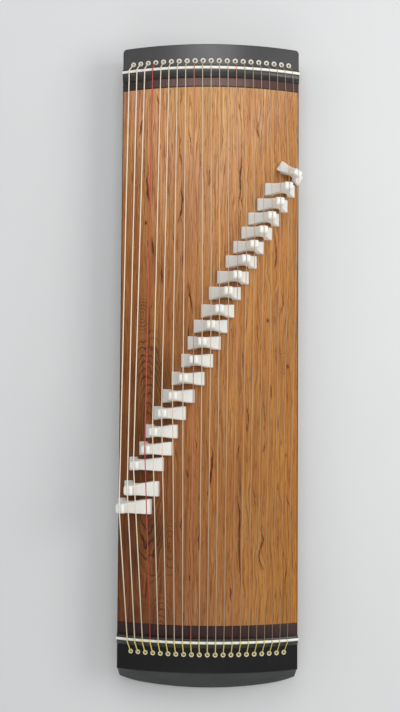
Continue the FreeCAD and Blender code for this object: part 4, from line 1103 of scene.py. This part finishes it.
# ---- bridges ----
def bridge_shape(i):
    H = BR_H[i] - STRING_R[i] - 0.6
    B, L, lean = BR_HALF[i], BR_FOOT[i], BR_LEAN[i]

    def sh(s, t):
        return (s - lean * (1 - t / H), t)

    def side(sg):
        return [sh(sg * s, t) for s, t in ((B, 5.0), (B - 4.5, 10.0), (B - 10.5, 17.0), (B - 16.0, 25.0),
                                           (9.2, 0.66 * H), (7.0, 0.78 * H), (6.6, H - 6.8))]

    def head(sg):
        return [sh(sg * s, t) for s, t in ((6.6, H - 6.8), (8.5, H - 3.0), (7.6, H + 0.6), (4.8, H + 2.4), (2.2, H + 1.7))]
    bi = B - 15.0
    inner = [sh(bi, -4.0), sh(bi - 0.8, 4.0), sh(bi - 4.0, 0.25 * H), sh(bi * 0.35, 0.37 * H), sh(0, 0.40 * H),
             sh(-bi * 0.35, 0.37 * H), sh(-bi + 4.0, 0.25 * H), sh(-bi + 0.8, 4.0), sh(-bi, -4.0)]
    g = 1.0
    prof = [sh(B, -4.0)]
    prof += list(spline(side(1), 6)) + list(spline(head(1), 5)[1:])
    prof += [sh(1.2, H + 0.6), sh(0.6, H + 0.35), sh(-0.6, H + 0.35), sh(-1.2, H + 0.6)]
    prof += list(spline(head(-1), 5)[::-1]) + list(spline(side(-1), 6)[::-1][1:])
    prof += [sh(-B, -4.0)]
    prof += list(spline(inner, 6)[::-1])
    front = [np.array([[x, p[0], p[1]] for p in prof]) for x in (-25.0, 25.0)]
    fv, ff = loft(front)
    k = BR_TIP[i] / H
    xs = [(L / 2, 3.0), (L / 2 - 0.5, 8.0), (L / 2 - 2.6, 0.40 * H), (L * 0.345, 0.62 * H), (L * 0.325, 0.8 * H),
          (L * 0.33, H - 6.5), (L * 0.315, H - 3.0), (L * 0.25, H + 0.2), (L * 0.14, H + 2.0), (0.0, H + 2.6)]
    sp = spline(xs, 6)
    out = [(L / 2, -5.0)] + [tuple(q) for q in sp] + [(-q[0], q[1]) for q in sp[::-1][1:]] + [(-L / 2, -5.0)]
    side_s = [np.array([[p[0] + k * p[1], y, p[1]] for p in out]) for y in (-60.0, 60.0)]
    sv, sf = loft(side_s)
    a = plain("bf", fv, ff, False)
    b = plain("bs", sv, sf, False)
    m = a.modifiers.new("i", "BOOLEAN")
    m.operation, m.solver, m.object = "INTERSECT", "EXACT", b
    baked(a)
    bpy.data.objects.remove(b)
    m = a.modifiers.new("r", "REMESH")
    m.mode, m.voxel_size, m.use_smooth_shade = "VOXEL", 0.85, True
    baked(a)
    me = a.data
    n_ = len(me.vertices)
    zz = np.zeros(n_ * 3)
    me.vertices.foreach_get("co", zz)
    zz = zz.reshape(-1, 3)[:, 2]
    vg = a.vertex_groups.new(name="crown")
    wts = np.round(sstep(0.52 * H, 0.86 * H, zz) * 8) / 8
    for q in range(1, 9):
        idx = np.nonzero(wts == q / 8)[0]
        if len(idx):
            vg.add(idx.tolist(), q / 8, "REPLACE")
    m = a.modifiers.new("s", "SMOOTH")
    m.factor, m.iterations = 0.5, 6
    m = a.modifiers.new("s2", "SMOOTH")
    m.factor, m.iterations, m.vertex_group = 0.5, 34, "crown"
    baked(a)
    me = a.data
    co = np.zeros(len(me.vertices) * 3)
    me.vertices.foreach_get("co", co)
    co = co.reshape(-1, 3)
    bpy.data.objects.remove(a)
    if BR_TURN[i]:
        t = math.radians(BR_TURN[i])
        x, y = co[:, 0].copy(), co[:, 1].copy()
        co[:, 0], co[:, 1] = x * math.cos(t) - y * math.sin(t), x * math.sin(t) + y * math.cos(t)
    # feet seated on the arch
    rad = np.hypot(co[:, 1], co[:, 2] + R)
    low = rad < R + 0.06
    scale = np.where(low, (R + 0.06) / rad, 1.0)
    co[:, 1] = co[:, 1] * scale
    co[:, 2] = (co[:, 2] + R) * scale - R
    height = np.hypot(co[:, 1], co[:, 2] + R) - R
    w = stand(co, BR_X[i], BR_A[i])
    # the groove, pressed in by the string, open above it
    p0, p1, p2 = STRING_PTS[i]
    r = STRING_R[i] + 0.03
    up = p1 - np.array([p1[0], 0, ZC])
    up /= np.linalg.norm(up)
    for a_, b_ in ((p1, p0), (p1, p2)):
        d = (b_ - a_) / np.linalg.norm(b_ - a_)
        q = w - a_
        s = q @ d
        perp = q - s[:, None] * d
        e_up = up - d * (up @ d)
        e_up /= np.linalg.norm(e_up)
        e_side = np.cross(d, e_up)
        pu, ps = perp @ e_up, perp @ e_side
        hit = (s > -0.6) & (s < 25) & (pu > -r) & (np.abs(ps) < r + 1.1)
        floor_ = np.where(np.abs(ps) < r, -np.sqrt(np.maximum(r * r - ps * ps, 0)), (np.abs(ps) - r) * 1.6)
        drop = np.where(hit & (pu > floor_), pu - floor_, 0.0)
        w = w - drop[:, None] * e_up
    me2 = me
    return w, me2, height


def make_bridges():
    for i in range(N):
        w, me, height = bridge_shape(i)
        me.vertices.foreach_set("co", metres(w).ravel())
        name = "bridge_%02d" % (i + 1)
        me.name = name + "_white"
        me.materials.clear()
        me.materials.append(M_BRIDGE)
        put_attr(me, "height", height)
        me.shade_smooth()
        me.update()
        ob = bpy.data.objects.new(name + "_white", me)
        bpy.context.scene.collection.objects.link(ob)
        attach(ob, name)
        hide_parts(name)


# ---- tuning pins ----
def make_pins():
    for i in range(N):
        cy, cz, ar, off = pin_centre(i)
        ang = np.linspace(0, 2 * math.pi, 28, endpoint=False)
        secs = []

        def ring(x, r):
            secs.append(np.column_stack([np.full(28, x), cy + r * np.cos(ang), cz + r * np.sin(ang)]))

        def square(x, h, c):
            # rounded square with the same point count
            q = []
            for t in ang:
                cx_, sx_ = math.cos(t), math.sin(t)
                k = (abs(cx_) ** c + abs(sx_) ** c) ** (-1.0 / c)
                q.append((x, cy + h * k * cx_, cz + h * k * sx_))
            secs.append(np.array(q))
        ring(PIN_X0, 2.9)
        ring(PIN_X0 + 0.8, PIN_R)
        x = PIN_X0 + 2.0
        while x < 536:
            ring(x, PIN_R)
            ring(x + 0.55, PIN_R - 0.13)
            ring(x + 1.1, PIN_R)
            x += 1.6
        ring(560.0, PIN_R)
        for q in (574.0, 575.0, 576.0):
            ring(q - 0.35, PIN_R)
            ring(q, PIN_R - 0.18)
        ring(PIN_X1 - 12, PIN_R)
        ring(PIN_X1 - 11.2, 3.1)
        square(PIN_X1 - 10.5, 2.1, 9.0)
        square(PIN_X1 - 1.0, 2.05, 9.0)
        square(PIN_X1 - 0.3, 1.85, 8.0)
        square(PIN_X1, 1.35, 6.0)
        v, f = loft(secs)
        name = "tuning_pin_%02d" % (i + 1)
        ob = build(name + "_steel", v, f, M_STEEL, body=name, angle=28)
        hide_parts(name)


# ---- flat boards from outlines with rounded edges ----
def flat_board(name, outline, holes, thick, bevel, mat, body, axes, at, angle=35):
    """A board cut from an outline in two axes, thick along the third, its edges eased."""
    cu = bpy.data.curves.new(name, "CURVE")
    cu.dimensions, cu.fill_mode = "2D", "BOTH"
    for ring_ in [outline] + holes:
        sp = cu.splines.new("POLY")
        sp.points.add(len(ring_) - 1)
        for k, (a, b) in enumerate(ring_):
            sp.points[k].co = (a, b, 0, 1)
        sp.use_cyclic_u = True
    cu.extrude = thick / 2 - bevel
    cu.bevel_depth, cu.bevel_resolution, cu.offset = bevel, 2, -bevel
    tmp = bpy.data.objects.new(name, cu)
    bpy.context.scene.collection.objects.link(tmp)
    dg = bpy.context.evaluated_depsgraph_get()
    me = bpy.data.meshes.new_from_object(tmp.evaluated_get(dg), depsgraph=dg)
    bpy.data.objects.remove(tmp)
    bm = bmesh.new()
    bm.from_mesh(me)
    bmesh.ops.remove_doubles(bm, verts=bm.verts, dist=0.0005)
    bmesh.ops.recalc_face_normals(bm, faces=bm.faces)
    bm.to_mesh(me)
    bm.free()
    co = np.zeros(len(me.vertices) * 3)
    me.vertices.foreach_get("co", co)
    co = co.reshape(-1, 3)
    w = np.zeros_like(co)
    w[:, axes[0]], w[:, axes[1]], w[:, axes[2]] = co[:, 0], co[:, 1], co[:, 2] + at
    me.vertices.foreach_set("co", metres(w).ravel())
    me.materials.clear()
    me.materials.append(mat)
    ob = bpy.data.objects.new(name, me)
    bpy.context.scene.collection.objects.link(ob)
    tidy(ob, angle)
    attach(ob, body)
    return ob


def make_boards():
    # side boards
    for sg, nm in ((1, "side_board_bass"), (-1, "side_board_treble")):
        zt = math.sqrt((R - BOARD_T) ** 2 - HALF_W ** 2) + ZC
        z0 = BOTTOM_Z + BOTTOM_T
        k = TAIL_SLOPE

        def tail_x(z, y=HALF_W):
            top = math.sqrt(R * R - y * y) + ZC
            return -552.0 - k * (top - z) + END_T + 0.05
        pts = [(tail_x(z0), z0), (HEAD_X - 0.0, z0), (HEAD_X - 0.0, zt), (tail_x(zt), zt)]
        out = []
        n = 10
        for a in range(4):
            p, q = np.array(pts[a]), np.array(pts[(a + 1) % 4])
            for t in np.linspace(0, 1, n, endpoint=False):
                out.append(tuple(p + (q - p) * t))
        ob = flat_board(nm, out, [], SIDE_T, 0.6, M_SIDE, "body", (0, 2, 1), sg * (HALF_W - SIDE_T / 2))
        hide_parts("side_boards")
    # bottom board with its sound holes
    k = TAIL_SLOPE

    def slot_ring(cx, lx, ly, n=14):
        r = ly / 2
        ring_ = []
        for t in np.linspace(-math.pi / 2, math.pi / 2, n):
            ring_.append((cx + lx / 2 - r + r * math.cos(t), r * math.sin(t)))
        for t in np.linspace(math.pi / 2, 3 * math.pi / 2, n):
            ring_.append((cx - lx / 2 + r + r * math.cos(t), r * math.sin(t)))
        return ring_[::-1]
    outline = []
    for y in np.linspace(HALF_W, -HALF_W, 41):
        top = math.sqrt(R * R - y * y) + ZC
        outline.append((-552.0 - k * (top - BOTTOM_Z - BOTTOM_T) + END_T - 0.3, y))
    outline += [(HEAD_X, -HALF_W), (HEAD_X, HALF_W)]
    hole = [(-545.0, -95.0), (-488.0, -95.0), (-488.0, 95.0), (-545.0, 95.0)][::-1]
    ob = flat_board("bottom_board_wood", outline, [slot_ring(60.0, 180.0, 80.0), slot_ring(-300.0, 120.0, 60.0), hole],
                    BOTTOM_T, 0.5, M_BOTTOM, "body", (0, 1, 2), BOTTOM_Z + BOTTOM_T / 2)
    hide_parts("bottom_board")
    # tuning box lid with a finger notch
    w = HALF_W - SIDE_T - 0.4
    z0 = BOTTOM_Z + BOTTOM_T + 0.4
    ring_ = []
    for y in np.linspace(-w, w, 61):
        ring_.append((y, math.sqrt((R - BOARD_T - 0.4) ** 2 - y * y) + ZC))
    ring_ += [(w, z0)]
    cz_ = BOTTOM_Z + BOTTOM_T - 4
    a0 = math.asin((z0 - cz_) / 13.0)
    for t in np.linspace(a0, math.pi - a0, 17):
        ring_.append((13 * math.cos(t), cz_ + 13 * math.sin(t)))
    ring_ += [(-w, z0)]
    ob = flat_board("box_lid_lacquered", ring_, [], 7.0, 0.7, M_BLACK, "lid", (1, 2, 0), 596.5)
    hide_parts("box_lid")
    # feet: rounded rubber pads
    parts = []
    for fx in (-520.0, 500.0):
        for sg in (1, -1):
            secs = []
            for z, inset in ((0.0, 1.2), (0.35, 0.4), (1.0, 0.0), (10.6, 0.0), (11.5, 0.25), (12.0, 0.7)):
                row = []
                for cx, cy2, a0_ in ((22, 9, 0), (-22, 9, 90), (-22, -9, 180), (22, -9, 270)):
                    for t in np.linspace(0, 90, 7):
                        a = math.radians(a0_ + t)
                        row.append((fx + cx + (6 - inset) * math.cos(a), sg * 120 + cy2 + (6 - inset) * math.sin(a), z))
                secs.append(row)
            parts.append(loft(secs))
    v, f = merge(parts)
    ob = build("feet_rubber", v, f, M_RUBBER, angle=35)
    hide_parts("feet")


make_soundboard()
make_crossbands()
make_head_plate()
make_tail_plate()
make_end_panel()
make_nuts()
make_eyelets()
make_strings()
make_bridges()
make_pins()
make_boards()


def repaint(node, mat):
    o = NODES[node]
    if not o.material_slots:
        o.data.materials.append(mat)
    for s in o.material_slots:
        s.material = mat


repaint("pin_block", M_BLOCK)
repaint("sound_bars", M_BARS)

# ---------------------------------------------------------------------------
# Floor, lights, camera
# ---------------------------------------------------------------------------
fm = Mat("studio_floor")
fn = fm.noise(fm.coords((3, 3, 3)), 1.0, 3, 0.5)
fc = fm.mix(fm.remap(fn, 0.3, 0.7, 0.0, 1.0), (0.725, 0.735, 0.735), (0.74, 0.75, 0.75))
fm.set(Base_Color=fc, Roughness=0.85, Specular_IOR_Level=0.2)
fme = bpy.data.meshes.new("studio_floor")
fme.from_pydata([(-30, -30, 0), (30, -30, 0), (30, 30, 0), (-30, 30, 0)], [], [(0, 1, 2, 3)])
fme.materials.append(fm.m)
floor = bpy.data.objects.new("studio_floor", fme)
bpy.context.scene.collection.objects.link(floor)

world = bpy.data.worlds.new("studio")
bpy.context.scene.world = world
world.use_nodes = True
bg = world.node_tree.nodes["Background"]
bg.inputs[0].default_value = (0.97, 0.985, 1.0, 1.0)
bg.inputs[1].default_value = 0.475


def area(name, loc, aim, size, power, col=(1, 1, 1)):
    li = bpy.data.lights.new(name, "AREA")
    li.shape, li.size, li.size_y, li.energy, li.color = "RECTANGLE", size[0], size[1], power, col
    ob = bpy.data.objects.new(name, li)
    bpy.context.scene.collection.objects.link(ob)
    ob.location = loc
    d = Vector(aim) - Vector(loc)
    ob.rotation_mode = "QUATERNION"
    ob.rotation_quaternion = d.to_track_quat("-Z", "Y")
    return ob


area("key_right", (0.30, -1.62, 1.52), (0.0, 0.0, 0.05), (1.1, 1.0), 20.0, (1.0, 0.99, 0.975))
area("head_soft", (1.28, 0.05, 2.00), (0.52, 0.0, 0.10), (1.1, 1.2), 13.0, (0.985, 0.985, 1.0))
area("left_soft", (0.75, 1.55, 1.55), (0.0, 0.0, 0.08), (0.9, 0.9), 2.5, (0.99, 1.0, 1.0))
area("tail_soft", (-1.9, 0.1, 1.6), (-0.5, 0.0, 0.05), (1.2, 1.2), 6.0, (0.99, 1.0, 1.0))

cam_d = bpy.data.cameras.new("camera")
cam = bpy.data.objects.new("camera", cam_d)
bpy.context.scene.collection.objects.link(cam)


def turn(axis, deg):
    a = math.radians(deg)
    x, y, z = axis
    c, s = math.cos(a), math.sin(a)
    return np.array([[c + x * x * (1 - c), x * y * (1 - c) - z * s, x * z * (1 - c) + y * s],
                     [y * x * (1 - c) + z * s, c + y * y * (1 - c), y * z * (1 - c) - x * s],
                     [z * x * (1 - c) - y * s, z * y * (1 - c) + x * s, c + z * z * (1 - c)]])


M = np.array([[0.0, 1.0, 0.0], [-1.0, 0.0, 0.0], [0.0, 0.0, 1.0]])
M = turn(M[:, 0], 2.73872) @ M
M = turn(M[:, 1], 0.27067) @ M
M = turn(M[:, 2], 0.39218) @ M
mw = Matrix.Identity(4)
for r_ in range(3):
    for c_ in range(3):
        mw[r_][c_] = M[r_, c_]
mw.translation = Vector((-0.06589, 0.01147, 1.94060))
cam.matrix_world = mw
cam_d.sensor_fit = "AUTO"
cam_d.sensor_width = 36.0
cam_d.lens = 50.7305
cam_d.clip_start, cam_d.clip_end = 0.05, 60.0
cam_d.dof.use_dof = False
bpy.context.scene.camera = cam
bpy.context.scene.view_settings.view_transform = "Standard"
